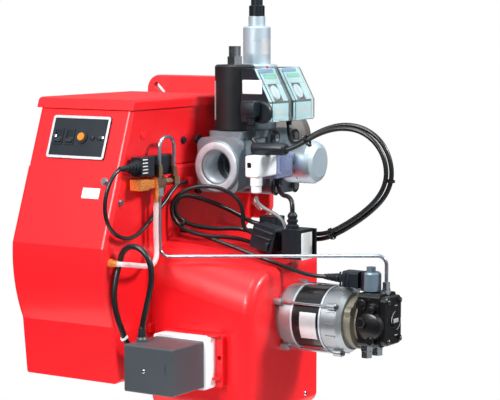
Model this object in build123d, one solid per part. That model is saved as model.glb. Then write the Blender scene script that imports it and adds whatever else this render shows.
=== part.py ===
"""Dual-fuel forced-draught burner with a gas train, an oil pump and its wiring.

Units are millimetres.  The origin is on the blast tube's axis, at the boiler
side of the mounting flange.  +Y points into the boiler, +X to the motor side
and +Z up.
"""
from build123d import *
import math
import os

os.makedirs("parts", exist_ok=True)

# ---------------------------------------------------------------- clearances
seat_gap = 0.05        # round piece in its seat on the same body
run_gap = 0.05         # radial play of a turning or sliding shaft
part_gap = 0.3         # air between neighbouring pieces

# ------------------------------------------------------ flange and blast tube
flange_width = 276
flange_height = 260
flange_thick = 12
flange_corner = 28
flange_edge = 2
slot_across = 218
slot_up = 208
slot_length = 30
slot_width = 11
tube_radius = 70
tube_shoulder = 71.5
tube_wall = 2.5
tube_reach = 260
tube_mouth = 30
tube_mouth_radius = 64
collar_radius = 84
collar_thick = 5
nozzle_line_radius = 8
gas_tube_radius = 34
gas_tube_wall = 3
gas_head_reach = 176
diffuser_radius = 56
diffuser_thick = 2
diffuser_place = 212
electrode_radius = 4
electrode_wire = 1.2
electrode_x = 18
electrode_z = 12
spud_circle = 48

# ------------------------------------------------------------ body and hood
body_half = 100
body_wall = 5
body_front = -flange_thick
body_floor = -369
split_height = -12
front_block_depth = 106
front_block_half = body_half - 4
front_block_top = 92
hood_half = 98
hood_top = 103
hood_wall = 3
hood_rear = -373
rear_slope = 20
knee_height = -139
belly_reach = 24
chin_height = -272
rim_height = 18
rim_out = 4
throat_radius = 75

# ------------------------------------------------------------ control panel
panel_width = 122
panel_height = 75
panel_thick = 3
panel_drop = 66
rocker_length = 20
rocker_width = 13
rocker_rise = 5.5
rocker_dip = 2.5
rocker_tilt = 8
rocker_pin = 1.2
button_radius = 7
button_travel = 2.5
button_height = button_travel + 3.5

# ------------------------------------------------------- fan housing and fan
axle_y = -203
axle_z = -264
volute_right = 299
volute_front = -331
volute_back = -104
volute_floor = -432
volute_wall = 5
volute_top_in = -128
volute_top_out = -172
volute_shoulder = 78
volute_edge = 16
volute_drop = 10
fan_radius = 72
fan_width = 64
fan_blades = 24
fan_room = 3
fan_start = 217
scroll_start = 78
scroll_growth = 48
inlet_ring_radius = 50
air_box_right = 205
motor_hole_radius = 12
damper_x = 153
damper_z = -325
damper_shaft = 4
damper_thick = 2

# ------------------------------------------------------------------ servo
servo_left = 138
servo_right = 235
servo_floor = -369
servo_top = -291
servo_depth = 90
servo_wall = 2.5
servo_base_thick = 28
servo_base_lip = 4
bracket_thick = 14

# ----------------------------------------------------------- motor and pump
motor_radius = 54
shaft_radius = 7
bell_front_length = 33
stator_length = 54
bell_rear_length = 38
rotor_radius = 29.5
stator_bore = 30.2
tie_bolt_radius = 2.5
tie_bolt_circle = 59
pump_bracket_length = 21
pump_bracket_radius = 45
pump_shaft_radius = 4
pump_depth = 40
pump_cover_thick = 12
pump_half_width = 29
pump_floor = -300
pump_roof = -212
coil_radius = 17
coil_height = 33

# ------------------------------------------------------------- gas train
gas_x = 156
gas_z = -18
valve_inner = 114
valve_outer = 198
valve_front = -212
valve_back = -16
port_radius = 28.5
port_ring_radius = 45.5
port_ring_out = 5
port_depth = 60
outlet_y = -62
outlet_radius = 25
valve_deck = 41
coil_x = 148
coil_1_y = -145
coil_2_y = -73
valve_coil_radius = 35
coil_1_top = 156
coil_2_top = 147
adjuster_radius = 13.5
adjuster_height = 32
adjuster_pin = 5
brake_radius = 24.5
brake_top = 222
brake_neck_radius = 15
brake_neck_top = 240
knob_radius = 14
knob_height = 33
switch_depth = 64
switch_1_front = -169
switch_2_front = -92
switch_roof = 150
switch_floor = 58
regulator_radius = 38
regulator_end = 268
regulator_y = -54


# ---------------------------------------------------------------- helpers
def block(x0, x1, y0, y1, z0, z1):
    """Box between two corners."""
    centre = Pos((x0 + x1) / 2, (y0 + y1) / 2, (z0 + z1) / 2)
    return centre * Box(abs(x1 - x0), abs(y1 - y0), abs(z1 - z0))


def rod(axis, start, end, radius, a, b):
    """Cylinder along axis; a and b place it on the other two axes."""
    return turned(axis, [(start, 0), (start, radius), (end, radius), (end, 0)], a, b)


def turned(axis, outline, a=0, b=0):
    """Solid of revolution from (distance along the axis, radius) pairs."""
    if axis == "x":
        face = make_face(Polyline(*[(s, r) for s, r in outline], close=True))
        return Pos(0, a, b) * revolve(face, Axis.X)
    if axis == "y":
        face = make_face(Polyline(*[(r, s) for s, r in outline], close=True))
        return Pos(a, 0, b) * revolve(face, Axis.Y)
    face = make_face(Plane.XZ * Polyline(*[(r, s) for s, r in outline], close=True))
    return Pos(a, b, 0) * revolve(face, Axis.Z)


def side_profile(points, x0, x1):
    """Closed outline of (y, z) points, extruded from x0 to x1."""
    face = make_face(Polyline(*points, close=True))
    return extrude(Plane.YZ.offset(x0) * face, x1 - x0)


def end_profile(points, y0, y1):
    """Closed outline of (x, z) points, extruded from y0 to y1."""
    face = make_face(Polyline(*points, close=True))
    return extrude(Plane.XZ.offset(-y1) * face, y1 - y0)


def hexagon(axis, start, end, across_flats, a, b):
    """Hexagonal prism along axis."""
    face = RegularPolygon(across_flats / 2, 6, major_radius=False)
    bar = extrude(face, abs(end - start))
    low = min(start, end)
    if axis == "x":
        return Pos(low, a, b) * Rot(0, 90, 0) * bar
    if axis == "y":
        return Pos(a, low, b) * Rot(-90, 0, 0) * bar
    return Pos(a, b, low) * bar


def screw(axis, seat, out, head_radius, head_height, a, b):
    """Hexagon head on a washer; out is +1 or -1 along axis."""
    washer = rod(axis, seat, seat + out * 1.5, head_radius * 1.5, a, b)
    head = hexagon(axis, seat + out * 1.5, seat + out * (1.5 + head_height), 2 * head_radius, a, b)
    return washer + head


def pipe(points, radii, radius):
    """Round tube of straight runs and tangent arcs."""
    path = FilletPolyline(*points, radius=radii)
    start = path @ 0
    heading = path % 0
    return sweep(Plane(origin=start, z_dir=heading) * Circle(radius), path=path)


def save(node, *pieces):
    """Write one node; its pieces stay separate solids."""
    solids = [solid for piece in pieces for solid in piece.solids()]
    shape = solids[0] if len(solids) == 1 else Compound(children=solids)
    export_step(shape, "parts/" + node + ".step")


# ------------------------------------------------------------- derived places
slope = math.tan(math.radians(rear_slope))
slope_sin = math.sin(math.radians(rear_slope))
slope_cos = math.cos(math.radians(rear_slope))
front_block_back = body_front - front_block_depth
knee_y = hood_rear - (hood_top - knee_height) * slope
split_y = hood_rear - (hood_top - split_height) * slope
chin_y = knee_y + belly_reach
floor_y = chin_y + 10
bell_front_end = volute_right + bell_front_length
stator_end = bell_front_end + stator_length
bell_rear_end = stator_end + bell_rear_length
bracket_end = bell_rear_end + pump_bracket_length
pump_end = bracket_end + pump_depth
cover_end = pump_end + pump_cover_thick
servo_back = volute_front - bracket_thick - servo_base_thick
servo_front = servo_back - servo_depth


def rear_at(height):
    """Y of the sloping rear face at a height."""
    return hood_rear - (hood_top - height) * slope


# --------------------------------------------------------- boiler connection
def make_mounting_flange():
    plate = extrude(Plane.XZ * RectangleRounded(flange_width, flange_height, flange_corner), flange_thick)
    plate = chamfer(plate.faces().sort_by(Axis.Y)[0].edges(), flange_edge)
    plate -= rod("y", -flange_thick - 1, 1, tube_shoulder + seat_gap, 0, 0)
    for side in (-1, 1):
        for up in (-1, 1):
            angle = math.degrees(math.atan2(up * slot_up, side * slot_across))
            place = Pos(side * slot_across / 2, up * slot_up / 2) * Rot(0, 0, angle)
            slot = Plane.XZ.offset(-1) * place * SlotOverall(slot_length, slot_width)
            plate -= extrude(slot, flange_thick + 2)
    save("mounting_flange", plate)


def make_blast_tube():
    inner = tube_radius - tube_wall
    mouth = tube_reach - tube_mouth
    outline = [(body_front - collar_thick, inner), (body_front - collar_thick, collar_radius),
               (body_front, collar_radius), (body_front, tube_shoulder), (-1, tube_shoulder),
               (0, tube_radius), (mouth, tube_radius),
               (tube_reach, tube_mouth_radius), (tube_reach, tube_mouth_radius - tube_wall),
               (mouth, inner)]
    save("blast_tube", turned("y", outline))


def make_gas_head():
    """Gas tube round the oil line, fed from the side, with six gas spuds at its tip."""
    back = front_block_back + body_wall * 2
    inner = gas_tube_radius - gas_tube_wall
    shell = turned("y", [(back, 0), (back, gas_tube_radius), (gas_head_reach, gas_tube_radius),
                         (gas_head_reach, inner), (back + gas_tube_wall, inner), (back + gas_tube_wall, 0)])
    feed_end = body_half
    feed = rod("x", gas_tube_radius * 0.5, feed_end, outlet_radius + gas_tube_wall, outlet_y, gas_z)
    head = shell + feed
    head -= rod("y", back + gas_tube_wall, gas_head_reach + 1, inner, 0, 0)
    head -= rod("x", 0, feed_end + 1, outlet_radius, outlet_y, gas_z)
    head += turned("y", [(gas_head_reach - 4, nozzle_line_radius + seat_gap), (gas_head_reach - 4, inner + 0.5),
                         (gas_head_reach, inner + 0.5), (gas_head_reach, nozzle_line_radius + seat_gap)])
    head -= rod("y", back - 1, back + gas_tube_wall + 1, nozzle_line_radius + seat_gap, 0, 0)
    for side in (-1, 1):
        head -= rod("y", back - 1, gas_head_reach + 1, electrode_radius + seat_gap, side * electrode_x, electrode_z)
    for number in range(6):
        angle = math.radians(60 * number)
        x = spud_circle * math.cos(angle)
        z = spud_circle * math.sin(angle)
        spud = rod("y", gas_head_reach - 30, diffuser_place, 5, x, z)
        arm = Rot(0, -60 * number, 0) * rod("x", inner + 1, spud_circle, 4.5, gas_head_reach - 22, 0)
        head += spud + arm
    save("gas_head", head)


def make_air_diffuser():
    disc = rod("y", diffuser_place, diffuser_place + diffuser_thick, diffuser_radius, 0, 0)
    disc -= rod("y", diffuser_place - 1, diffuser_place + 4, 13, 0, 0)
    blade = block(16, diffuser_radius - 8, diffuser_place - 1, diffuser_place + 4, -1.5, 1.5)
    for number in range(12):
        disc -= Rot(0, 30 * number + 15, 0) * blade
    save("air_diffuser", disc)


def make_oil_nozzle_line():
    back = front_block_back - 30
    line = rod("y", back, 186, nozzle_line_radius, 0, 0)
    line += hexagon("y", 186, 200, 20, 0, 0)
    line += turned("y", [(200, 0), (200, 8), (207, 4), (207, 0)])
    line += hexagon("y", back - 12, back, 22, 0, 0)
    save("oil_nozzle_line", line)


def make_electrodes():
    """Two ignition electrodes, each a ceramic body with a wire bent to the nozzle."""
    pieces = []
    for side in (-1, 1):
        x = side * electrode_x
        back = front_block_back
        body = rod("y", back, gas_head_reach + 8, electrode_radius, x, electrode_z)
        wire = rod("y", gas_head_reach + 8, gas_head_reach + 30, electrode_wire, x, electrode_z)
        pieces.append(body + wire)
    save("ignition_electrodes", *pieces)


# ------------------------------------------------------------- body and hood
def body_outline(inset):
    """Side view of the lower casing, drawn in by inset."""
    front = body_front - inset
    floor = body_floor + inset
    top = split_height - inset
    points = [(front, top), (split_y + inset / slope_cos + inset * slope, top),
              (knee_y + inset, knee_height)]
    rear = Polyline(*points)
    belly = ThreePointArc(points[-1], (knee_y + inset + 3, (knee_height + chin_height) / 2),
                          (chin_y + inset, chin_height))
    rest = Polyline((chin_y + inset, chin_height), (floor_y + inset, floor), (-100 - inset, floor),
                    (-100 - inset, -190), (front, -128), (front, top))
    return make_face(Curve() + [rear, belly, rest])


def make_main_body():
    """Cast lower casing with the block that carries the blast tube in front."""
    casing = extrude(Plane.YZ.offset(-body_half) * body_outline(0), 2 * body_half)
    long_edges = casing.faces().sort_by(Axis.X)[0].edges() + casing.faces().sort_by(Axis.X)[-1].edges()
    casing = fillet(long_edges.filter_by(lambda edge: edge.center().Y < -110), 9)
    hollow_half = body_half - body_wall
    casing -= extrude(Plane.YZ.offset(-hollow_half) * body_outline(body_wall), 2 * hollow_half)
    front_block = block(-front_block_half, front_block_half, front_block_back, body_front,
                        split_height, front_block_top)
    front_block = fillet(front_block.edges().filter_by(Axis.Y).sort_by(Axis.Z)[-2:], 16)
    gas_pad = block(front_block_half - 6, body_half, outlet_y - 40, valve_back - 6, split_height - 1,
                    valve_deck - 6)
    body = casing + front_block + gas_pad
    body -= rod("y", front_block_back + 10, body_front + 1, throat_radius, 0, 0)
    body -= rod("y", body_front - collar_thick, body_front + 1, collar_radius + seat_gap, 0, 0)
    body -= rod("y", front_block_back - 1, front_block_back + 11, nozzle_line_radius + seat_gap, 0, 0)
    for side in (-1, 1):
        body -= rod("y", front_block_back - 1, front_block_back + 11, electrode_radius + seat_gap,
                    side * electrode_x, electrode_z)
    port = outlet_radius + gas_tube_wall + seat_gap
    body -= rod("x", 0, body_half + 1, port, outlet_y, gas_z)
    body -= block(hollow_half - 1, body_half + 1, duct_front, duct_back, duct_floor, duct_roof)
    body += rod("x", body_half - 1, pump_route[0][0], 8, pump_route[0][1], pump_route[0][2])
    x, y, z = oil_valve_route[-1]
    body += block(body_half - 1, x + 6, y, y + 12, z - 7, z + 7)
    save("main_body", body)


duct_front = volute_front + volute_wall + 4
duct_back = -262
duct_floor = -262
duct_roof = -215


def hood_outline(inset, low):
    """Side view of the hood, drawn in by inset, from the height low upwards."""
    top = hood_top - inset
    shift = inset / slope_cos
    return [(front_block_back, low), (front_block_back, top), (rear_at(top) + shift, top),
            (rear_at(low) + shift, low)]


def make_hood():
    hood = side_profile(hood_outline(0, split_height), -hood_half, hood_half)
    rim_low = hood_top - rim_height
    rim_back = rear_at(rim_low) - rim_out
    rim = side_profile([(front_block_back, rim_low), (front_block_back, hood_top),
                        (rim_back + rim_height * slope, hood_top), (rim_back, rim_low)],
                       -hood_half - rim_out, hood_half + rim_out)
    hood = fillet(hood.edges().filter_by(lambda edge: abs(edge.center().X) > hood_half - 1
                  and edge.center().Y < hood_rear - 10 and edge.center().Z < hood_top - 20), 8)
    top_edges = rim.faces().sort_by(Axis.Z)[-1].edges()
    rim = fillet(top_edges.filter_by(lambda edge: edge.center().Y < front_block_back - 5), 6)
    hood += rim
    hood -= side_profile(hood_outline(hood_wall, split_height - 1), -hood_half + hood_wall,
                         hood_half - hood_wall)
    hood -= panel_plane() * Box(panel_width - 14, panel_height - 14, 40)
    save("hood", hood)


def panel_plane():
    """Plane on the sloping rear face at the control panel's centre; local Y runs up the slope."""
    height = hood_top - panel_drop
    return Plane(origin=(0, rear_at(height), height), x_dir=(1, 0, 0),
                 z_dir=(0, -slope_cos, slope_sin))


rocker_places = (-42, -18)
button_place = 8
lamp_places = (30, 44)


def make_control_panel():
    plane = panel_plane()
    plate = extrude(RectangleRounded(panel_width, panel_height, 4), panel_thick)
    swing = math.hypot(rocker_length / 2, rocker_rise) + part_gap
    for x in rocker_places:
        frame = Pos(x, 0, panel_thick / 2) * Box(rocker_width + 5, rocker_length + 8, panel_thick + 3)
        plate += frame
    collar = Pos(button_place, 0, 0) * extrude(Circle(button_radius + 4), panel_thick + 2)
    plate += collar
    for x in rocker_places:
        well = rod("x", -rocker_width / 2 - part_gap, rocker_width / 2 + part_gap, swing, 0, 0)
        pivot = rod("x", -rocker_width / 2 - 2.4, rocker_width / 2 + 2.4, rocker_pin + run_gap, 0, 0)
        plate -= Pos(x, 0, 0) * (well + pivot)
    plate -= Pos(button_place, 0, 0) * extrude(Circle(button_radius + run_gap), 20, both=True)
    for x in lamp_places:
        lamp = turned("z", [(0, 0), (0, 5), (panel_thick + 1, 5), (panel_thick + 3, 3.5), (panel_thick + 3.5, 0)])
        plate += Pos(x, 0, 0) * lamp
    save("control_panel", plane * plate)


def make_rockers():
    """Rocker switch keys that tip about a pin along X; each rests tipped to off."""
    half = rocker_length / 2
    round_under = math.hypot(half, rocker_rise)
    for number, x in enumerate(rocker_places, 1):
        top = Polyline((-half, rocker_rise), (0, rocker_dip), (half, rocker_rise))
        under = ThreePointArc((half, rocker_rise), (0, -round_under), (-half, rocker_rise))
        face = make_face(Curve() + [top, under])
        key = extrude(Plane.YZ.offset(-rocker_width / 2) * face, rocker_width)
        key += rod("x", -rocker_width / 2 - 2, rocker_width / 2 + 2, rocker_pin, 0, 0)
        place = panel_plane() * Pos(x, 0, 0) * Rot(-rocker_tilt, 0, 0)
        save("panel_switch_" + str(number), place * key)


def make_reset_button():
    stem = turned("z", [(-4, 0), (-4, button_radius + 2), (-part_gap, button_radius + 2),
                        (-part_gap, button_radius), (panel_thick + button_height - 1, button_radius),
                        (panel_thick + button_height, button_radius - 1), (panel_thick + button_height, 0)])
    save("reset_button", panel_plane() * Pos(button_place, 0, 0) * stem)


def make_ignition_transformer():
    """Ignition transformer on the casing's deck, with a high-voltage tower for each electrode."""
    deck = split_height
    back = front_block_back - 46
    coil = block(-30, 30, back - 90, back, deck, deck + 44)
    coil = fillet(coil.edges().filter_by(Axis.Z), 4)
    for side in (-1, 1):
        coil += rod("y", back, back + 16, 8, side * electrode_x, deck + 26)
    save("ignition_transformer", coil)


# ------------------------------------------------------- fan housing and fan
def volute_section(top, right):
    """Outline of the fan housing across its axle, in (y, z)."""
    shoulder_z = top - volute_shoulder
    crown_y = volute_front + volute_shoulder
    corner = 34
    foot = 18
    back = volute_back
    floor = volute_floor
    front = volute_front
    lift = math.sqrt(0.5)
    arc_mid = (crown_y - volute_shoulder * lift, shoulder_z + (top - volute_drop - shoulder_z) * lift)
    lines = [Line((front, floor + corner), (front, shoulder_z)),
             ThreePointArc((front, shoulder_z), arc_mid, (crown_y, top - volute_drop)),
             Line((crown_y, top - volute_drop), (back, top)),
             Line((back, top), (back, floor + foot)),
             ThreePointArc((back, floor + foot), (back - foot * (1 - lift), floor + foot * (1 - lift)),
                           (back - foot, floor)),
             Line((back - foot, floor), (front + corner, floor)),
             ThreePointArc((front + corner, floor), (front + corner * (1 - lift), floor + corner * (1 - lift)),
                           (front, floor + corner))]
    return Plane.YZ.offset(right) * make_face(Curve() + lines)


def scroll_point(turn):
    """Point on the scroll wall; turn runs from 0 at the tongue to 270 degrees at the front."""
    reach = scroll_start + scroll_growth * turn / 270
    angle = math.radians(90 - turn)
    return (axle_y + reach * math.cos(angle), axle_z + reach * math.sin(angle))


def scroll_face():
    arcs = []
    for quarter in range(3):
        first = 90 * quarter
        arcs.append(ThreePointArc(scroll_point(first), scroll_point(first + 45), scroll_point(first + 90)))
    end = scroll_point(270)
    start = scroll_point(0)
    lift = math.sqrt(0.5)
    inset = volute_wall + 1
    crown_y = volute_front + volute_shoulder
    crown_z = volute_top_out - volute_drop - inset
    shoulder_z = volute_top_out - volute_shoulder
    arc_mid = (crown_y - (volute_shoulder - inset) * lift, shoulder_z + (crown_z - shoulder_z) * lift)
    arcs.append(Polyline(end, (volute_front + inset, shoulder_z)))
    arcs.append(ThreePointArc((volute_front + inset, shoulder_z), arc_mid, (crown_y, crown_z)))
    arcs.append(Polyline((crown_y, crown_z), start))
    return make_face(Curve() + arcs)


def volute_shell():
    """Outer form of the fan housing; its top falls away towards the motor."""
    shell = loft([volute_section(volute_top_in, body_half), volute_section(volute_top_out, volute_right)])
    return fillet(shell.faces().sort_by(Axis.X)[-1].edges(), volute_edge)


def make_volute_housing():
    shell = volute_shell()
    shell -= extrude(Plane.YZ.offset(air_box_right + volute_wall) * scroll_face(),
                     volute_right - 2 * volute_wall - air_box_right)
    shell -= block(body_half + volute_wall, air_box_right, duct_back + volute_wall, volute_back - volute_wall,
                   volute_floor + volute_wall * 2, -200)
    shell -= block(body_half + volute_wall, air_box_right, volute_front + volute_wall, duct_back + 6,
                   volute_floor + volute_wall * 2, duct_floor - volute_wall)
    shell -= block(body_half - 1, air_box_right + volute_wall + 1, duct_front, duct_back, duct_floor, duct_roof)
    shell -= rod("x", air_box_right - 1, air_box_right + volute_wall + 1, fan_radius + fan_room, axle_y, axle_z)
    shell -= rod("x", volute_right - volute_wall - 1, volute_right + 1, motor_hole_radius, axle_y, axle_z)
    shell -= block(grille_left, grille_right, grille_front, grille_back, volute_floor - 1, volute_floor + 12)
    shell -= rod("y", volute_front - 1, volute_back + 1, damper_shaft + run_gap, damper_x, damper_z)
    save("volute_housing", shell)


grille_left = 112
grille_right = 200
grille_front = -290
grille_back = -170


def make_inlet_grille():
    thick = 3
    low = volute_floor
    gap = part_gap
    plate = block(grille_left + gap, grille_right - gap, grille_front + gap, grille_back - gap, low, low + thick)
    plate += block(grille_left + gap, grille_right - gap, grille_front + gap, grille_front + 6, low, low + 8)
    plate += block(grille_left + gap, grille_right - gap, grille_back - 6, grille_back - gap, low, low + 8)
    pitch = 9
    count = int((grille_back - grille_front - 16) / pitch)
    for number in range(count):
        y = grille_front + 10 + number * pitch
        plate -= block(grille_left + 6, grille_right - 6, y, y + 5, low - 1, low + thick + 1)
    save("inlet_grille", plate)


def make_fan_inlet_ring():
    """Bell-mouthed cover plate of the fan chamber; the fan comes out when it is off."""
    wall = air_box_right + volute_wall
    spigot = fan_radius + fan_room - part_gap
    outline = [(air_box_right, spigot), (wall, spigot), (wall, inlet_ring_radius + 6),
               (fan_start - 2, inlet_ring_radius + 2), (fan_start - 2, inlet_ring_radius),
               (wall, inlet_ring_radius + 1), (air_box_right, inlet_ring_radius + 6)]
    save("fan_inlet_ring", turned("x", outline, axle_y, axle_z))


def make_fan_wheel():
    """Forward-curved drum fan: back disc with hub, a ring of blades and a front ring."""
    end = fan_start + fan_width
    wheel = turned("x", [(end - 2, shaft_radius + seat_gap), (end - 2, fan_radius), (end, fan_radius),
                         (end, 16), (end + 8, 16), (end + 8, shaft_radius + seat_gap)], axle_y, axle_z)
    wheel += turned("x", [(fan_start, fan_radius - 14), (fan_start, fan_radius), (fan_start + 2, fan_radius),
                          (fan_start + 2, fan_radius - 14)], axle_y, axle_z)
    inner = fan_radius - 13
    outer = fan_radius - 1
    tip = math.radians(6)
    inside = Vector(inner, 0)
    outside = Vector(outer * math.cos(tip), outer * math.sin(tip))
    bulge = Vector((inside.X + outside.X) / 2 + 1, (inside.Y + outside.Y) / 2 - 1.6)
    thick = 1.2
    outer_arc = ThreePointArc(inside, bulge, outside)
    inner_arc = ThreePointArc(outside + Vector(0, thick), bulge + Vector(0, thick), inside + Vector(0, thick))
    face = make_face(Curve() + [outer_arc, Line(outside, outside + Vector(0, thick)), inner_arc,
                                Line(inside + Vector(0, thick), inside)])
    blade = extrude(Plane.YZ.offset(fan_start + 1) * face, fan_width - 2)
    for number in range(fan_blades):
        wheel += Pos(0, axle_y, axle_z) * Rot(360 / fan_blades * number, 0, 0) * blade
    save("fan_wheel", wheel)


def make_air_damper():
    """Damper flap on its shaft; the shaft's front end sits in the servo base."""
    half = damper_x - body_half - volute_wall - 1
    flap_back = volute_back - volute_wall - 1
    flap = block(damper_x - half, damper_x + half, volute_front + volute_wall + 1, flap_back,
                 damper_z - damper_thick / 2, damper_z + damper_thick / 2)
    shaft = rod("y", servo_back + 2, volute_back - 1, damper_shaft, damper_x, damper_z)
    save("air_damper", flap + shaft)


# -------------------------------------------------------------------- servo
def make_servo():
    plate_front = volute_front - bracket_thick
    bracket = block(servo_left - 8, servo_right + 18, plate_front, volute_front, servo_floor - 3, servo_top + 6)
    bracket = fillet(bracket.edges().filter_by(Axis.Y), 5)
    bracket -= block(servo_left + 4, servo_right - 4, plate_front + 4, volute_front + 1,
                     servo_floor + 8, servo_top - 6)
    bracket -= rod("y", plate_front - 1, volute_front + 1, damper_shaft + 3, damper_x, damper_z)
    bracket -= rod("y", plate_front - 1, volute_front + 1, 4, servo_right + 12, (servo_floor + servo_top) / 2 + 8)
    save("servo_bracket", bracket)
    base = block(servo_left - servo_base_lip, servo_right + servo_base_lip, servo_back, plate_front,
                 servo_floor - servo_base_lip, servo_top + servo_base_lip)
    base = fillet(base.edges().filter_by(Axis.Y), 5)
    base -= rod("y", servo_back + 1, plate_front + 1, damper_shaft + run_gap, damper_x, damper_z)
    save("servo_base", base)
    cover = block(servo_left, servo_right, servo_front, servo_back, servo_floor, servo_top)
    cover = fillet(cover.edges().filter_by(Axis.Y) + cover.faces().sort_by(Axis.Y)[0].edges(), 3)
    cover -= block(servo_left + servo_wall, servo_right - servo_wall, servo_front + servo_wall,
                   servo_back + 1, servo_floor + servo_wall, servo_top - servo_wall)
    x, y, z = servo_route[0]
    cover += turned("z", [(servo_top, 0), (servo_top, 9), (servo_top + 4, 9), (z, 7), (z, 0)], x, y)
    save("servo_cover", cover)


# ----------------------------------------------------------- motor and pump
def ring_places(count, radius, first=0):
    """Points spread round the fan axle, in (y, z)."""
    angles = [math.radians(first + 360 / count * number) for number in range(count)]
    return [(axle_y + radius * math.cos(angle), axle_z + radius * math.sin(angle)) for angle in angles]


def bell(open_end, closed_end, bearing, nose):
    """Motor end shield: cup with an end wall that carries the shaft."""
    step = 4 if closed_end > open_end else -4
    outline = [(open_end, motor_radius - 5), (open_end, motor_radius), (closed_end - 2 * step, motor_radius),
               (closed_end, motor_radius - nose), (closed_end, bearing), (closed_end - step, bearing),
               (closed_end - step, motor_radius - 8 - nose), (closed_end - 3 * step, motor_radius - 5)]
    return turned("x", outline, axle_y, axle_z)


def lug_outline(place, start, end):
    """Round lug for a tie bolt, webbed to the shell."""
    return rod("x", start, end, tie_bolt_radius + 3.5, *place)


def make_motor():
    lugs = ring_places(4, tie_bolt_circle, 60)
    front = bell(bell_front_end, volute_right, shaft_radius + run_gap, 4)
    rear = bell(stator_end, bell_rear_end, shaft_radius + run_gap, 6)
    for place in lugs:
        front += lug_outline(place, volute_right, volute_right + 14)
        rear += lug_outline(place, bell_rear_end - 22, bell_rear_end - 8)
        hole_reach = tie_bolt_radius + seat_gap
        front -= rod("x", volute_right + 2, volute_right + 15, hole_reach, *place)
        rear -= rod("x", bell_rear_end - 23, bell_rear_end - 7, hole_reach, *place)
    for number in range(16):
        fin = block(stator_end + 10, bell_rear_end - 10, motor_radius - 3, motor_radius + 2, -1.2, 1.2)
        if number % 4 != 2:
            rear += Pos(0, axle_y, axle_z) * Rot(22.5 * number, 0, 0) * fin
    save("motor_front_bell", front)
    save("motor_rear_bell", rear)
    stack = turned("x", [(bell_front_end, stator_bore), (bell_front_end, motor_radius),
                         (stator_end, motor_radius), (stator_end, stator_bore)], axle_y, axle_z)
    save("motor_stator", stack)
    bolts = []
    for place in lugs:
        bolt = rod("x", volute_right + 3, bell_rear_end - 6, tie_bolt_radius, *place)
        bolt += hexagon("x", bell_rear_end - 8, bell_rear_end - 4, 8, *place)
        bolts.append(bolt)
    save("motor_tie_bolts", *bolts)


def make_rotor():
    shaft = rod("x", fan_start + 10, bell_rear_end + 12, shaft_radius, axle_y, axle_z)
    shaft += rod("x", bell_front_end + 3, stator_end - 3, rotor_radius, axle_y, axle_z)
    save("motor_shaft", shaft)
    coupling = turned("x", [(bell_rear_end + 1, shaft_radius + seat_gap), (bell_rear_end + 1, 13),
                            (bracket_end - 2, 13), (bracket_end - 2, pump_shaft_radius),
                            (bracket_end + 14, pump_shaft_radius), (bracket_end + 14, 0),
                            (bell_rear_end + 12 + part_gap, 0),
                            (bell_rear_end + 12 + part_gap, shaft_radius + seat_gap)], axle_y, axle_z)
    save("shaft_coupling", coupling)


def make_pump_bracket():
    start = bell_rear_end
    bracket = turned("x", [(start, 17), (start, pump_bracket_radius - 3), (start + 5, pump_bracket_radius - 3),
                           (start + 7, pump_bracket_radius), (bracket_end - 6, pump_bracket_radius),
                           (bracket_end - 3, pump_bracket_radius - 9), (bracket_end, pump_bracket_radius - 9),
                           (bracket_end, 17)], axle_y, axle_z)
    for y, z in ring_places(2, pump_bracket_radius - 2, 152):
        bracket += rod("x", start + 6, bracket_end - 4, 9, y, z)
    save("pump_bracket", bracket)


def make_pump():
    front = axle_y - pump_half_width
    back = axle_y + pump_half_width
    body = block(bracket_end, pump_end, front, back, pump_floor, pump_roof)
    body = fillet(body.edges().filter_by(Axis.X), 7)
    body += rod("y", front - 7, front, 11, (bracket_end + pump_end) / 2 + 4, pump_roof - 26)
    body -= rod("x", bracket_end - 1, bracket_end + 15, pump_shaft_radius + run_gap, axle_y, axle_z)
    body += hexagon("y", front - 5, front, 14, bracket_end + 14, pump_floor + 24)
    for place in pump_ports:
        body -= rod("z", pump_floor - 1, pump_floor + 10, pump_port_radius + seat_gap, *place)
    body -= rod("z", pump_roof - 3, pump_roof + 1, pump_port_radius + seat_gap, *delivery_place)
    save("pump_body", body)
    cover = block(pump_end, cover_end, front + 2, back - 2, pump_floor + 3, pump_roof - 4)
    cover = fillet(cover.edges().filter_by(Axis.X), 9)
    cover = chamfer(cover.faces().sort_by(Axis.X)[-1].edges(), 2)
    middle = (pump_floor + pump_roof) / 2
    for side in (-1, 1):
        for up in (-1, 1):
            y = axle_y + side * (pump_half_width - 11)
            z = middle + up * 31
            head = rod("x", cover_end - 1, cover_end + 3, 4.5, y, z)
            cover += head - hexagon("x", cover_end, cover_end + 4, 4.5, y, z)
    cover += rod("x", cover_end - 1, cover_end + 4, 8, axle_y, middle - 4)
    save("pump_cover", cover)
    coil = turned("z", [(pump_roof, 0), (pump_roof, 11), (pump_roof + 2, coil_radius), (pump_roof + coil_height - 3, coil_radius),
                        (pump_roof + coil_height, coil_radius - 3), (pump_roof + coil_height, 0)],
                  pump_coil_x, axle_y)
    coil += hexagon("z", pump_roof + coil_height, pump_roof + coil_height + 8, 15, pump_coil_x, axle_y)
    save("pump_coil", coil)


pump_coil_x = bracket_end + 9
pump_port_radius = 6.5
pump_ports = ((bracket_end + 10, axle_y - 15), (bracket_end + 14, axle_y + 14))
delivery_place = (pump_end - 4, axle_y + 3)
fitting_flats = 17


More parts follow.
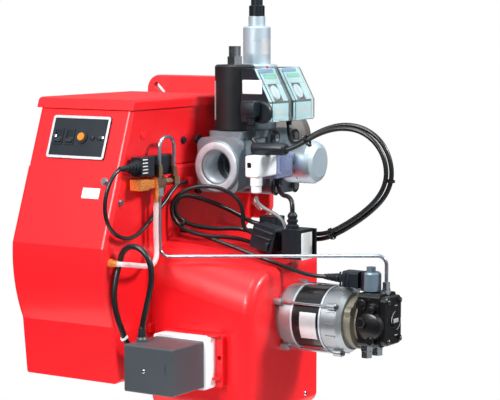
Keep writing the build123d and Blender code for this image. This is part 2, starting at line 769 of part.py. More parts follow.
def make_pump_fittings():
    fittings = []
    for x, y in pump_ports:
        fitting = rod("z", pump_floor - 14, pump_floor + 8, pump_port_radius, x, y)
        fitting += hexagon("z", pump_floor - 8, pump_floor, fitting_flats + 2, x, y)
        fitting += hexagon("z", pump_floor - 20, pump_floor - 10, fitting_flats, x, y)
        fittings.append(fitting)
    x, y = delivery_place
    delivery = rod("z", pump_roof - 3, pump_roof + 8, pump_port_radius, x, y)
    delivery += hexagon("z", pump_roof, pump_roof + 5, 14, x, y)
    delivery += hexagon("z", pump_roof + 7, pump_roof + 17, 12, x, y)
    delivery -= rod("z", pump_roof + 4, pump_roof + 18, oil_pipe_radius + seat_gap, x, y)
    fittings.append(delivery)
    save("pump_fittings", *fittings)


# ----------------------------------------------------------------- oil line
oil_pipe_radius = 3
oil_bend = 15
riser_x = body_half + 20
riser_y = -334
oil_run_z = -154
oil_run_rise = 26
riser_nut_z = -58
loop_top = 38
loop_leg_y = -292


def make_oil_line():
    """Delivery pipe from the pump to the riser, and the test loop above it."""
    x, y = delivery_place
    run = pipe([(x, y, pump_roof + 5), (x, y, oil_run_z), (riser_x, riser_y, oil_run_z + oil_run_rise),
                (riser_x, riser_y, riser_nut_z + 4)], [oil_bend, oil_bend], oil_pipe_radius)
    loop = pipe([(riser_x, riser_y, riser_nut_z + 12), (riser_x, riser_y, loop_top),
                 (riser_x, loop_leg_y, loop_top), (riser_x, loop_leg_y, oil_block_z + 5)],
                [oil_bend, oil_bend], oil_pipe_radius)
    save("oil_line", run, loop)


oil_block_z = -38


def make_brass_fittings():
    """Oil valve body with its nuts, the riser's compression nut and the drain nipple."""
    x0 = body_half + 4
    gap = oil_pipe_radius + seat_gap
    bar = block(x0, x0 + 22, -396, -372, oil_block_z - 9, oil_block_z + 9)
    bar += block(x0 + 2, x0 + 20, -372, -352, oil_block_z - 7, oil_block_z + 7)
    cross = block(riser_x - 8, riser_x + 7, riser_y - 18, riser_y + 9, oil_block_z - 8, oil_block_z + 9)
    nut = hexagon("z", riser_nut_z - 2, oil_block_z - 8, 14, riser_x, riser_y)
    link = rod("y", riser_y + 8, loop_leg_y - 5, 4, riser_x - 1, oil_block_z)
    link += hexagon("y", riser_y + 13, loop_leg_y - 12, 12, riser_x - 1, oil_block_z)
    seat = block(riser_x - 7, riser_x + 7, loop_leg_y - 7, loop_leg_y + 7, oil_block_z - 6, oil_block_z + 9)
    whole = bar + cross + nut + link + seat
    whole -= rod("z", riser_nut_z - 3, riser_nut_z + 4, gap, riser_x, riser_y)
    whole -= rod("z", riser_nut_z + 12, oil_block_z + 10, gap, riser_x, riser_y)
    whole -= rod("z", oil_block_z + 5, oil_block_z + 10, gap, riser_x, loop_leg_y)
    foot = rod("x", body_half, x0 + 1, 7, -384, oil_block_z)
    nipple = hexagon("x", body_half, body_half + 6, 13, nipple_y, nipple_z)
    nipple += rod("x", body_half + 6, nipple_end, 5.5, nipple_y, nipple_z)
    spigot = hexagon("z", hose_top + 8, oil_block_z - 7, 11, hose_x, hose_y)
    whole += spigot + rod("z", hose_top, hose_top + 8, 5.2, hose_x, hose_y)
    save("brass_fittings", whole + foot, nipple)


nipple_y = -447
nipple_z = -163
nipple_end = 116
hose_radius = 4.5
hose_x = riser_x + 1
hose_y = -346
hose_top = -70


def make_oil_valve():
    """Magnet coil above the oil valve and its ribbed moulded plug."""
    x0 = body_half + part_gap
    coil = block(x0, x0 + 14, -352, -290, -27, 8)
    coil = fillet(coil.edges().filter_by(Axis.Y), 4)
    coil += block(x0 + 1, x0 + 22, -372, -352, -25, 8)
    save("oil_valve_coil", coil)


def oil_valve_plug():
    """Ribbed moulded plug of the oil valve's coil, pointing to the rear."""
    x0 = body_half + part_gap
    plug = block(x0 + 2, x0 + 25, -392, -372, -24, 8)
    plug = fillet(plug.edges().filter_by(Axis.Y), 4)
    boot = [(-372, 0), (-372, 12)]
    for number in range(4):
        y = -392 - 7 * number
        r = 12 - 1.7 * number
        boot += [(y, r), (y - 3, r), (y - 3, r - 1.6), (y - 5, r - 1.6)]
    boot += [(oil_boot_end, 5), (oil_boot_end, 0)]
    return plug + turned("y", boot, x0 + 13.5, oil_plug_z)


oil_boot_end = -424
oil_plug_z = -8


# ---------------------------------------------------------------- gas train
def make_valve_body():
    """Cast double gas valve; the gas enters at the front and leaves towards the burner."""
    mid_floor = gas_z - 42
    core = block(valve_inner + 10, valve_outer - 8, valve_front + 10, valve_back - 4, mid_floor, valve_deck - 8)
    core = fillet(core.edges().filter_by(Axis.Y), 12)
    deck = block(valve_inner + 4, valve_outer - 6, valve_front + 26, valve_back - 2, valve_deck - 12, valve_deck)
    deck = fillet(deck.edges().filter_by(Axis.Z), 8)
    inlet = block(valve_inner, valve_outer, valve_front, valve_front + 24, gas_z - 45, gas_z + 50)
    inlet = fillet(inlet.edges().filter_by(Axis.Y), 14)
    outlet = block(valve_inner, valve_outer, outlet_y - 46, valve_back, gas_z - 56, valve_deck)
    outlet = fillet(outlet.edges().filter_by(Axis.X), 12)
    ring = turned("y", [(valve_front - port_ring_out, 0), (valve_front - port_ring_out, port_ring_radius - 2),
                        (valve_front - port_ring_out + 2, port_ring_radius), (valve_front, port_ring_radius),
                        (valve_front, 0)], gas_x, gas_z)
    body = core + deck + inlet + outlet + ring
    body -= rod("y", valve_front - port_ring_out - 1, valve_front + port_depth, port_radius, gas_x, gas_z)
    body -= rod("y", valve_front + 30, outlet_y, outlet_radius, gas_x, gas_z)
    body -= rod("x", valve_inner - 1, gas_x, outlet_radius, outlet_y, gas_z)
    rib = block(valve_outer - 12, valve_outer - 5, valve_front + 24, outlet_y - 46, -3, 3)
    for up in (-1, 1):
        body += Pos(0, 0, gas_z + up * 22) * rib
    body += block(valve_outer - 12, valve_outer, aps_front + 6, aps_back - 6, aps_floor + 6, aps_roof - 6)
    for y, z in valve_screw_places:
        body -= rod("x", valve_inner - 1, valve_outer + 1, valve_screw_radius + seat_gap, y, z)
    save("valve_body", body)
    adapter = block(body_half, valve_inner, outlet_y - 46, valve_back - 2, gas_z - 56, valve_deck)
    adapter = fillet(adapter.edges().filter_by(Axis.X), 12)
    adapter -= rod("x", body_half - 1, valve_inner + 1, outlet_radius, outlet_y, gas_z)
    for y, z in valve_screw_places:
        adapter -= rod("x", body_half - 1, valve_inner + 1, valve_screw_radius + seat_gap, y, z)
    save("gas_outlet_flange", adapter)


valve_screw_radius = 4
valve_screw_places = [(outlet_y - 34, gas_z - 45), (outlet_y - 34, gas_z + 45),
                      (outlet_y + 32, gas_z - 45), (outlet_y + 32, gas_z + 45)]


def make_valve_coils():
    first = turned("z", [(valve_deck, 0), (valve_deck, valve_coil_radius - 2), (valve_deck + 2, valve_coil_radius),
                         (coil_1_top - 3, valve_coil_radius), (coil_1_top, valve_coil_radius - 3),
                         (coil_1_top, adjuster_pin), (coil_1_top + 14, adjuster_pin), (coil_1_top + 14, 0)],
                   coil_x, coil_1_y)
    save("valve_coil_1", first)
    second = turned("z", [(valve_deck, 0), (valve_deck, valve_coil_radius), (coil_2_top, valve_coil_radius),
                          (coil_2_top, valve_coil_radius + 2), (coil_2_top + 6, valve_coil_radius + 2),
                          (coil_2_top + 8, valve_coil_radius - 1), (coil_2_top + 8, 0)], coil_x, coil_2_y)
    save("valve_coil_2", second)


def make_flow_adjuster():
    """Turning cap that sets the main flow; it stands on a pin of the first coil."""
    base = coil_1_top + part_gap
    adjuster = hexagon("z", base, base + 14, 2 * adjuster_radius - 2, coil_x, coil_1_y)
    cap = rod("z", base + 14, base + adjuster_height, adjuster_radius - 3, coil_x, coil_1_y)
    groove = block(adjuster_radius - 3.8, adjuster_radius, -0.7, 0.7, base + 16, base + adjuster_height + 1)
    for number in range(16):
        cap -= Pos(coil_x, coil_1_y, 0) * Rot(0, 0, 22.5 * number) * groove
    bore = rod("z", base - 1, coil_1_top + 15, adjuster_pin + run_gap, coil_x, coil_1_y)
    save("flow_adjuster", adjuster + cap - bore)


def make_brake():
    """Hydraulic brake of the second valve, with its setting knob."""
    start = coil_2_top + 8
    seam = start + (brake_top - start) * 0.62
    brake = turned("z", [(start, 0), (start, brake_radius), (seam, brake_radius), (seam, brake_radius - 0.6),
                         (seam + 1, brake_radius - 0.6), (seam + 1, brake_radius), (brake_top - 2, brake_radius),
                         (brake_top, brake_radius - 2), (brake_top, brake_neck_radius),
                         (brake_neck_top, brake_neck_radius), (brake_neck_top, 5 - run_gap),
                         (brake_neck_top + 12, 5 - run_gap), (brake_neck_top + 12, 0)], coil_x, coil_2_y)
    save("brake_cylinder", brake)
    low = brake_neck_top + part_gap
    knob = turned("z", [(low, 5), (low, knob_radius), (low + knob_height * 0.55, knob_radius),
                        (low + knob_height * 0.6, knob_radius - 3.5), (low + knob_height - 2, knob_radius - 3.5),
                        (low + knob_height, knob_radius - 5.5), (low + knob_height, 0),
                        (brake_neck_top + 13, 0), (brake_neck_top + 13, 5)], coil_x, coil_2_y)
    for number in range(12):
        flute = block(knob_radius - 1, knob_radius + 2, -1.2, 1.2, low - 1, low + knob_height * 0.5)
        knob -= Pos(coil_x, coil_2_y, 0) * Rot(0, 0, 30 * number) * flute
    save("brake_knob", knob)


def switch_outline():
    """End view of a pressure switch's body beside its coil, in (x, z)."""
    return [(174, switch_floor), (window_low[0] - 6, switch_floor), (window_low[0], switch_floor + 6),
            window_low, window_high, (174, switch_roof)]


def window_outline(inset):
    """End view of the clear cover over the body's outer face, drawn in by inset, in (x, z)."""
    (low_x, low_z), (high_x, high_z) = window_low, window_high
    out = window_proud - inset
    return [(low_x - inset, switch_floor + inset), (low_x + out, switch_floor + inset),
            (low_x + out, low_z + 2), (high_x + out + 0.5, high_z - inset),
            (high_x - inset, high_z - inset), (low_x - inset, low_z)]


def make_pressure_switches():
    """Two gas pressure switches with slanted clear covers over their setting dials."""
    boxes = []
    windows = []
    for number, (front, coil_y) in enumerate(((switch_1_front, coil_1_y), (switch_2_front, coil_2_y)), 1):
        back = front + switch_depth
        box = end_profile(switch_outline(), front, back)
        box -= rod("z", switch_floor - 1, switch_roof + 1, valve_coil_radius + 2 + part_gap, coil_x, coil_1_y)
        box -= rod("z", switch_floor - 1, switch_roof + 1, valve_coil_radius + 2 + part_gap, coil_x, coil_2_y)
        plane = window_plane(front)
        box -= plane * Pos(0, dial_place, 0) * Cylinder(dial_radius + 4, 16)
        box += plane * Pos(0, dial_place, -5.5) * Cylinder(3 - run_gap, 7)
        boxes.append(box)
        window = end_profile(window_outline(0), front, back)
        rim = window.edges().filter_by(Axis.Y).sort_by(Axis.X)[-2:]
        window = fillet(rim, 4)
        window -= end_profile(window_outline(window_wall), front + window_wall, back - window_wall)
        windows.append(window)
        dial = Cylinder(dial_radius, 6) - Pos(0, 0, -1.5) * Cylinder(3, 4)
        dial -= Pos(0, 0, 3) * Box(1.6, dial_radius * 1.4, 2)
        save("setting_dial_" + str(number), plane * Pos(0, dial_place, -2.5 + part_gap) * dial)
    save("switch_boxes", *boxes)
    save("switch_windows", *windows)


def window_plane(front):
    """Plane on the slanted face of a pressure switch; local Y runs up the slant."""
    middle = front + switch_depth / 2
    low = Vector(window_low[0], middle, window_low[1])
    high = Vector(window_high[0], middle, window_high[1])
    across = Vector(0, 1, 0)
    along = (high - low).normalized()
    return Plane(origin=(low + high) * 0.5, x_dir=across, z_dir=across.cross(along))


dial_radius = 13
dial_place = -14
window_low = (234, 92)
window_high = (203, switch_roof)
window_proud = 7
window_wall = 2


def make_air_pressure_switch():
    """Gas limit switch on the valve's outer side, under a tinted clear cover."""
    x0 = valve_outer
    base = block(x0, x0 + 6, aps_front, aps_back, aps_floor, aps_roof)
    base += block(x0, x0 + 22, aps_front + 6, aps_back - 6, aps_floor + 6, aps_roof - 6)
    save("pressure_switch", base)
    cover = block(x0 + 6, aps_right, aps_front, aps_back, aps_floor, aps_roof)
    cover = fillet(cover.edges().filter_by(Axis.X) + cover.faces().sort_by(Axis.X)[-1].edges(), 4)
    cover -= block(x0 + 5, aps_right - 2.5, aps_front + 2.5, aps_back - 2.5, aps_floor + 2.5, aps_roof - 2.5)
    save("pressure_switch_cover", cover)


aps_front = -160
aps_back = -104
aps_floor = -40
aps_roof = 6
aps_right = 243


def make_regulator():
    start = valve_outer
    end = regulator_end
    r = regulator_radius
    shape = turned("x", [(start, 0), (start, r - 8), (start + 6, r - 8), (start + 6, r - 2), (start + 10, r),
                         (end - 12, r), (end - 4, r - 4), (end, r - 12), (end, 0)], regulator_y, gas_z + 1)
    save("regulator_housing", shape)


# ------------------------------------------------------------------ plugs
def connector(x, y, z, width, depth, height, gland_out):
    """Square cable plug with a round gland below; x, y, z is the middle of its back face."""
    body = block(x - width / 2, x + width / 2, y - depth, y, z - height / 2, z + height / 2)
    body = fillet(body.edges().filter_by(Axis.Y), 4)
    body = chamfer(body.faces().sort_by(Axis.Y)[0].edges(), 2)
    low = z - height / 2
    middle = y - depth / 2
    gland = turned("z", [(low, 0), (low, 8), (low - 4, 8), (low - 5, 7), (low - gland_out + 2, 7),
                         (low - gland_out, 5.5), (low - gland_out, 0)], x, middle)
    return body + gland


plug_width = 30
plug_depth = 26
plug_height = 28
plug_gland = 16
box_plug_x = 206
box_plug_z = 82
pump_plug_z = pump_roof + 18


def make_connector_plugs():
    first = connector(box_plug_x, switch_1_front, box_plug_z, plug_width, plug_depth, plug_height, plug_gland)
    third = block(aps_right - 26, aps_right, aps_front - 60, aps_front, aps_floor + 7, aps_roof - 2)
    third = fillet(third.edges().filter_by(Axis.Y), 4)
    third = chamfer(third.faces().sort_by(Axis.Y)[0].edges(), 2)
    low = aps_floor + 7
    third += turned("z", [(low, 0), (low, 10.5), (low - 14, 10.5), (low - 15, 9), (low - 26, 9), (low - 28, 6),
                          (low - 28, 0)], aps_right - 11, aps_front - 47)
    x1 = pump_coil_x - coil_radius - part_gap
    x0 = x1 - plug_width
    fourth = block(x0, x1, axle_y - 14, axle_y + 14, pump_plug_z - 13, pump_plug_z + 14)
    fourth = fillet(fourth.edges().filter_by(Axis.X), 4)
    fourth += turned("x", [(x0, 0), (x0, 8), (x0 - 6, 7), (x0 - 12, 5.5), (x0 - 12, 0)], axle_y, pump_plug_z)
    save("connector_plugs", first, third, fourth, oil_valve_plug())


def make_plug_boxes():
    """Three multi-pole plugs on a socket strip that stands on the fan housing."""
    strip = block(208, 331, strip_y, strip_y + 6, -165, -118)
    foot = block(214, 284, strip_y, strip_y + 44, -190, -156)
    strip = strip + foot - volute_shell()
    left = Pos(247, strip_y - 17, -137) * Rot(0, 14, 0) * Box(46, 34, 42)
    left = fillet(left.edges().filter_by(Axis.Y), 6)
    right = block(290, 330, strip_y - 46, strip_y, -167, -117)
    right = fillet(right.edges().filter_by(Axis.Z), 7)
    right += turned("z", [(-117, 0), (-117, 11), (-112, 11), (-110, 8), (-107, 8), (-106, 9.5), (-103, 9.5),
                          (-102, 7.5), (-99, 7.5), (-98, 8.5), (-95, 8.5), (plug_lead_z, 5.5),
                          (plug_lead_z, 0)], plug_lead_x, strip_y - 23)
    back = block(212, 252, strip_y + 6, strip_y + 36, -146, -104)
    back = fillet(back.edges().filter_by(Axis.Z), 8)
    save("plug_boxes", strip, left, right, back)


strip_y = -177
plug_lead_x = 300
plug_lead_z = -90


# ------------------------------------------------------------------- cables
def cord_radii(points):
    """Largest tangent arcs that the runs beside each corner allow."""
    vectors = [Vector(b) - Vector(a) for a, b in zip(points, points[1:])]
    radii = []
    for before, after in zip(vectors, vectors[1:]):
        half_turn = math.radians(before.get_angle(after)) / 2
        radii.append(0.45 * min(before.length, after.length) / math.tan(half_turn))
    return radii


def make_cord(node, points, diameter):
    """Round cord on straight runs with the largest arcs; prints its length and tightest bend."""
    radii = cord_radii(points)
    path = FilletPolyline(*points, radius=radii)
    tube = sweep(Plane(origin=path @ 0, z_dir=path % 0) * Circle(diameter / 2), path=path)
    section = math.pi * diameter ** 2 / 4
    print(node, "length", round(path.length), "tightest", round(min(radii)),
          "volume ratio", round(tube.volume / (section * path.length), 4))
    save(node, tube)


lead = 8
thin_lead = 7
thick_lead = 10

loop_route_a = [(206, -182, 52), (206, -182, 35), (220, -186, 18), (248, -190, 12), (280, -186, 13),
                (306, -179, 26), (336, -172, 44), (372, -168, 54), (409, -165, 51), (438, -163, 33),
                (456, -162, 5), (460, -162, -28), (447, -163, -58), (421, -166, -84), (389, -169, -106),
                (357, -167, -123), (328, -160, -130), (300, -155, -130), (276, -153, -127), (252, -153, -127)]
loop_route_b = [(222, -84, 58), (222, -84, 45), (232, -99, 32), (248, -120, 25), (267, -143, 22),
                (288, -162, 24), (311, -170, 34), (338, -164, 50), (374, -160, 60), (412, -157, 56),
                (443, -155, 37), (462, -154, 6), (466, -154, -30), (452, -155, -62), (424, -158, -89),
                (391, -161, -112), (358, -159, -130), (329, -153, -139), (302, -149, -141),
                (276, -147, -139), (252, -147, -139)]
plug_lead_route = [(226, -126, -40), (226, -126, -52), (235, -135, -64), (252, -152, -68),
                   (271, -172, -66), (288, -190, -66), (300, -200, -73), (300, -200, -90)]
ring_route = [(212, -156, -120), (194, -156, -120), (173, -172, -104), (151, -200, -86), (129, -232, -71),
              (112, -254, -65), (105, -268, -78), (106, -268, -98), (115, -257, -113), (135, -241, -121),
              (159, -222, -125), (182, -204, -124), (203.3, -194, -126.1), (224.6, -194, -131.38)]
pump_route = [(103, -246, -129), (121, -246, -129), (146, -248, -134), (172, -248, -140), (200, -247, -147),
              (226, -246, -154), (250, -245, -161), (274, -243, -167), (297, -236, -175), (320, -225, -185),
              (344, -212, -193), (369, -203, -194), (394.7, -203, -194)]
oil_valve_route = [(113.8, -424, -8), (113.8, -441, -8), (112, -457, -22), (108, -467, -46),
                   (106, -469, -74), (107, -461, -100), (110, -443, -117), (112, -419, -125),
                   (111, -393, -124), (108, -368, -116), (107, -345, -103), (107, -322, -88),
                   (107, -300, -74), (107, -279, -57), (107, -257, -44), (107, -237, -44)]
servo_route = [(150, -428, -283), (150, -428, -266), (157, -428, -241), (166, -429, -211), (173, -430, -180),
               (168, -431, -153), (151, -432, -136), (131, -432, -133), (114, -431, -143), (107, -431, -165),
               (106, -440, -190), (106, -446, -217), (109, -444, -245), (115, -438, -271), (119, -428, -298),
               (120, -406, -318), (120, -368, -321), (120, -331, -321)]
hose_route = [(116, -447, -163), (126, -447, -163), (131, -432, -165), (133, -412, -169),
              (134, -391, -172), (131, -370, -172), (126, -353, -164), (121, -345, -146),
              (120.5, -346.5, -120), (121, -346, -95), (121, -346, -70)]


def make_cables():
    make_cord("cable_loop_a", loop_route_a, lead)
    make_cord("cable_loop_b", loop_route_b, lead)
    make_cord("cable_plug_lead", plug_lead_route, lead)
    make_cord("cable_ring", ring_route, lead)
    make_cord("cable_pump", pump_route, thin_lead)
    make_cord("cable_oil_valve", oil_valve_route, thin_lead)
    make_cord("cable_servo", servo_route, thick_lead)
    make_cord("drain_hose", hose_route, 2 * hose_radius)


def make_hex_screws():
    """Long screws through the gas valve's outlet end, and the screws of hood and body."""
    pieces = []
    for y, z in valve_screw_places:
        bar = rod("x", body_half + 0.5, valve_outer, valve_screw_radius, y, z)
        pieces.append(bar + screw("x", valve_outer, 1, 6.5, 6, y, z))
    for side in (-1, 1):
        pieces.append(screw("x", side * hood_half, side, 4.5, 3, -233, 27))
        pieces.append(screw("x", side * body_half, side, 4, 3, -418, -66))
    place = Plane(origin=(72, rear_at(-32), -32), x_dir=(1, 0, 0), z_dir=(0, -slope_cos, slope_sin))
    pieces.append(place * screw("z", 0, 1, 4.5, 4, 0, 0))
    save("hex_screws", *pieces)


make_mounting_flange()
make_blast_tube()
make_gas_head()
make_air_diffuser()
make_oil_nozzle_line()
make_electrodes()
make_main_body()
make_hood()
make_control_panel()
make_rockers()
make_reset_button()
make_ignition_transformer()
make_volute_housing()
make_inlet_grille()
make_fan_inlet_ring()
make_fan_wheel()
make_air_damper()
make_servo()
make_motor()
make_rotor()
make_pump_bracket()
make_pump()
make_pump_fittings()
make_oil_line()
make_brass_fittings()
make_oil_valve()
make_valve_body()
make_valve_coils()
make_flow_adjuster()
make_brake()
make_pressure_switches()
make_air_pressure_switch()
make_regulator()
make_connector_plugs()
make_plug_boxes()
make_hex_screws()
make_cables()
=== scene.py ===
import math

import bmesh
import bpy
from bpy.props import FloatProperty, FloatVectorProperty, PointerProperty
from bpy.types import Operator, Panel, PropertyGroup
from mathutils import Matrix, Vector


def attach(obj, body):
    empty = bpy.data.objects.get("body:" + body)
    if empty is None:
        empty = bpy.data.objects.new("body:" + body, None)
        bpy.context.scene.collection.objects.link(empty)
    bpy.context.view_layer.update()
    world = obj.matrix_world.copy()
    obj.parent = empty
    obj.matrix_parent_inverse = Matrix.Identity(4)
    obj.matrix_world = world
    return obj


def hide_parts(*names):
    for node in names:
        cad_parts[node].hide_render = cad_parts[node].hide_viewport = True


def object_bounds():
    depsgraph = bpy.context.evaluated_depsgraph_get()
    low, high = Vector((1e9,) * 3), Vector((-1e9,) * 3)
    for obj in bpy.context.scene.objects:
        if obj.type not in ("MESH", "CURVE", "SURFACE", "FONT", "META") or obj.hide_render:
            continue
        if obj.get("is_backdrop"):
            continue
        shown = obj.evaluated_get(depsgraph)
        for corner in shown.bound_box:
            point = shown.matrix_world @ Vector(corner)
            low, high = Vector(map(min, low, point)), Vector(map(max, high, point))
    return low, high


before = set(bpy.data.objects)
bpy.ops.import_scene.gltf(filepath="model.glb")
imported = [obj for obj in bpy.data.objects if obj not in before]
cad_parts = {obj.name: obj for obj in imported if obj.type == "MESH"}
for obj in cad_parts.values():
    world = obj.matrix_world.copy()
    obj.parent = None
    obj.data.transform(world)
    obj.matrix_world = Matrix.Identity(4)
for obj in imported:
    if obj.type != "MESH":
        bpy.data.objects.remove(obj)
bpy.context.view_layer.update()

bl_info = {
    "name": "Dual-fuel burner",
    "version": (1, 0, 0),
    "blender": (4, 5, 0),
    "location": "View3D > Sidebar > Burner",
    "description": "Finishes, cables and small fittings of a dual-fuel gas and oil burner",
    "category": "Object",
}

MM = 0.001
MICROMETRE = 0.000001
ROOT = "root"

# Directions in which the faces of the frame look.
OUT, LEFT, REAR, TOP, FORWARD = (1, 0, 0), (-1, 0, 0), (0, -1, 0), (0, 0, 1), (0, 1, 0)
REAR_SLOPE = math.radians(20)
REAR_NORMAL = (0, -math.cos(REAR_SLOPE), math.sin(REAR_SLOPE))
REAR_UP = (0, math.sin(REAR_SLOPE), math.cos(REAR_SLOPE))

# Places on the frame, in millimetres.
PANEL_CENTRE = (0, -397.02, 37)
GAS_INLET = (156, -217, -18)
COIL_1_AXIS = (148, -145, 0)
COIL_2_AXIS = (148, -73, 0)
REGULATOR_FOOT = (204, -54, -17)
MOTOR_AXLE = (0, -203, -264)
PUMP_FACE = 501
HOUSING_CORNER, HOUSING_CORNER_RADIUS = (283, -315, 0), 16
OIL_PIPE_RADIUS = 3
SMOOTH_BELOW = math.radians(35)


# ---- user settings
def colour_setting(name, description, default):
    return FloatVectorProperty(name=name, description=description, default=default, size=3, min=0, max=1,
                               subtype="COLOR")


def length_setting(name, description, default, least, most):
    """Length property; its numbers are in millimetres."""
    return FloatProperty(name=name, description=description, default=default * MM, min=least * MM,
                         max=most * MM, subtype="DISTANCE", unit="LENGTH")


def angle_setting(name, description, degrees):
    return FloatProperty(name=name, description=description, default=math.radians(degrees),
                         subtype="ANGLE", unit="ROTATION")


class BurnerColours(PropertyGroup):
    """Colours of the paints and plastics."""

    red: colour_setting("Paint red", "Gloss paint of the hood and castings", (0.86, 0.010, 0.016))
    cover_grey: colour_setting("Cover grey", "Satin paint of the servo's cover", (0.055, 0.065, 0.075))
    black: colour_setting("Moulded black", "Black plastic of plugs, coils and boxes", (0.006, 0.010, 0.014))
    cable: colour_setting("Cable black", "Rubber sheath of the cables", (0.005, 0.006, 0.007))


class BurnerSizes(PropertyGroup):
    """Sizes of what is laid on or along the frame."""

    lead: length_setting("Control lead", "Outer diameter of the control leads", 8, 5, 8.4)
    thin_lead: length_setting("Thin lead", "Outer diameter of the magnet coils' leads", 7, 4, 7.4)
    servo_lead: length_setting("Servo lead", "Outer diameter of the damper servo's lead", 10, 7, 10.5)
    hose: length_setting("Drain hose", "Outer diameter of the drain hose", 9, 6, 9.4)
    grey_lead: length_setting("Grey lead", "Outer diameter of the limit switch's lead", 6, 4, 7)
    tie_width: length_setting("Cable tie", "Width of a cable tie's strap", 4, 2, 6)


class BurnerStage(PropertyGroup):
    """Camera and floor."""

    lens: FloatProperty(
        name="Lens", description="Focal length of the camera",
        default=126.72, min=20, max=300, subtype="DISTANCE_CAMERA", unit="CAMERA")
    azimuth: angle_setting("Azimuth", "How far round to the motor side the camera stands", 32.6)
    elevation: angle_setting("Elevation", "Height of the camera above the horizon", 6)
    distance: length_setting("Distance", "From the camera to the point it faces", 3300, 1000, 10000)
    floor_radius: length_setting("Floor radius", "Radius of the round floor", 950, 500, 20000)
    floor_drop: length_setting("Floor drop", "Height of the burner's lowest point above the floor",
                               340, 0, 2000)


# ---- shader node groups
COLOUR = "NodeSocketColor"
NUMBER = "NodeSocketFloat"


def new_group(name, inputs, outputs):
    """Empty shader group with named sockets; returns it with its input and output nodes."""
    group = bpy.data.node_groups.new(name, "ShaderNodeTree")
    for label, kind, value in inputs:
        socket = group.interface.new_socket(label, in_out="INPUT", socket_type=kind)
        socket.default_value = value
    for label, kind in outputs:
        group.interface.new_socket(label, in_out="OUTPUT", socket_type=kind)
    return group, group.nodes.new("NodeGroupInput"), group.nodes.new("NodeGroupOutput")


def feed(tree, node, values):
    """Sets a node's inputs to plain values, or links them to other nodes' outputs."""
    for label, value in values.items():
        if isinstance(value, (int, float, tuple)):
            node.inputs[label].default_value = value
        else:
            tree.links.new(value, node.inputs[label])
    return node


def add_node(tree, kind, values):
    return feed(tree, tree.nodes.new(kind), values)


def noise(tree, coordinates, scale, detail, roughness=0.5):
    values = {"Vector": coordinates, "Scale": scale, "Detail": detail, "Roughness": roughness}
    return add_node(tree, "ShaderNodeTexNoise", values).outputs["Fac"]


def arithmetic(tree, operation, *values):
    node = tree.nodes.new("ShaderNodeMath")
    node.operation = operation
    return feed(tree, node, dict(enumerate(values))).outputs[0]


def blend_colours(tree, factor, first, second):
    """Mix node; its colours are inputs 6 and 7, and output 2."""
    node = tree.nodes.new("ShaderNodeMix")
    node.data_type = "RGBA"
    return feed(tree, node, {0: factor, 6: first, 7: second}).outputs[2]


def object_coordinates(tree):
    return tree.nodes.new("ShaderNodeTexCoord").outputs["Object"]


def stretched(tree, value, factor, offset):
    """A noise stretched to cover the whole range from 0 to 1 and held inside it."""
    value = arithmetic(tree, "MULTIPLY_ADD", value, factor, offset)
    return arithmetic(tree, "MINIMUM", arithmetic(tree, "MAXIMUM", value, 0.0), 1.0)


def new_grain(name):
    """Group with the sockets of every grain: its sockets, and the coordinates and scale it works on."""
    group, given, made = new_group(
        name,
        [("Colour", COLOUR, (0.5, 0.5, 0.5, 1)), ("Shade", COLOUR, (0.4, 0.4, 0.4, 1)),
         ("Scale", NUMBER, 500.0), ("Roughness", NUMBER, 0.4), ("Spread", NUMBER, 0.1)],
        [("Colour", COLOUR), ("Roughness", NUMBER), ("Height", NUMBER)])
    return group, given, made, object_coordinates(group), given.outputs["Scale"]


def close_grain(group, given, made, drift, unevenness, height):
    """Colour goes to the shade by drift, roughness wanders with the unevenness."""
    colour = blend_colours(group, drift, given.outputs["Colour"], given.outputs["Shade"])
    wander = arithmetic(group, "SUBTRACT", unevenness, 0.5)
    gloss = arithmetic(group, "MULTIPLY_ADD", wander, given.outputs["Spread"], given.outputs["Roughness"])
    feed(group, made, {"Colour": colour, "Roughness": gloss, "Height": height})
    return group


def build_skin_group():
    """Paint or moulded plastic: broad shade drift, fine gloss drift and a fine orange peel."""
    group, given, made, where, scale = new_grain("Surface skin")
    drift = stretched(group, noise(group, where, 9.0, 4.0), 2.4, -0.7)
    return close_grain(group, given, made, drift, noise(group, where, 34.0, 5.0),
                       noise(group, where, scale, 2.0))


def build_cast_group():
    """Cast metal: clouded colour, sand-mould pits and a granular height."""
    group, given, made, where, scale = new_grain("Cast grain")
    drift = stretched(group, noise(group, where, 26.0, 6.0, 0.6), 2.2, -0.6)
    grain = noise(group, where, scale, 4.0, 0.65)
    pits = group.nodes.new("ShaderNodeTexVoronoi")
    pits.feature = "SMOOTH_F1"
    feed(group, pits, {"Vector": where, "Scale": scale, "Smoothness": 0.4})
    height = arithmetic(group, "MULTIPLY_ADD", pits.outputs["Distance"], 0.6, grain)
    return close_grain(group, given, made, drift, grain, height)


def build_turned_group():
    """Turned or drawn metal: fine tool lines round the piece, with stains in its colour."""
    group, given, made, where, scale = new_grain("Tool lines")
    stretch = add_node(group, "ShaderNodeMapping", {"Vector": where, "Scale": (1.0, 0.12, 1.0)})
    lines = noise(group, stretch.outputs["Vector"], scale, 2.0)
    drift = stretched(group, noise(group, where, 60.0, 4.0), 2.6, -0.8)
    return close_grain(group, given, made, drift, lines, lines)


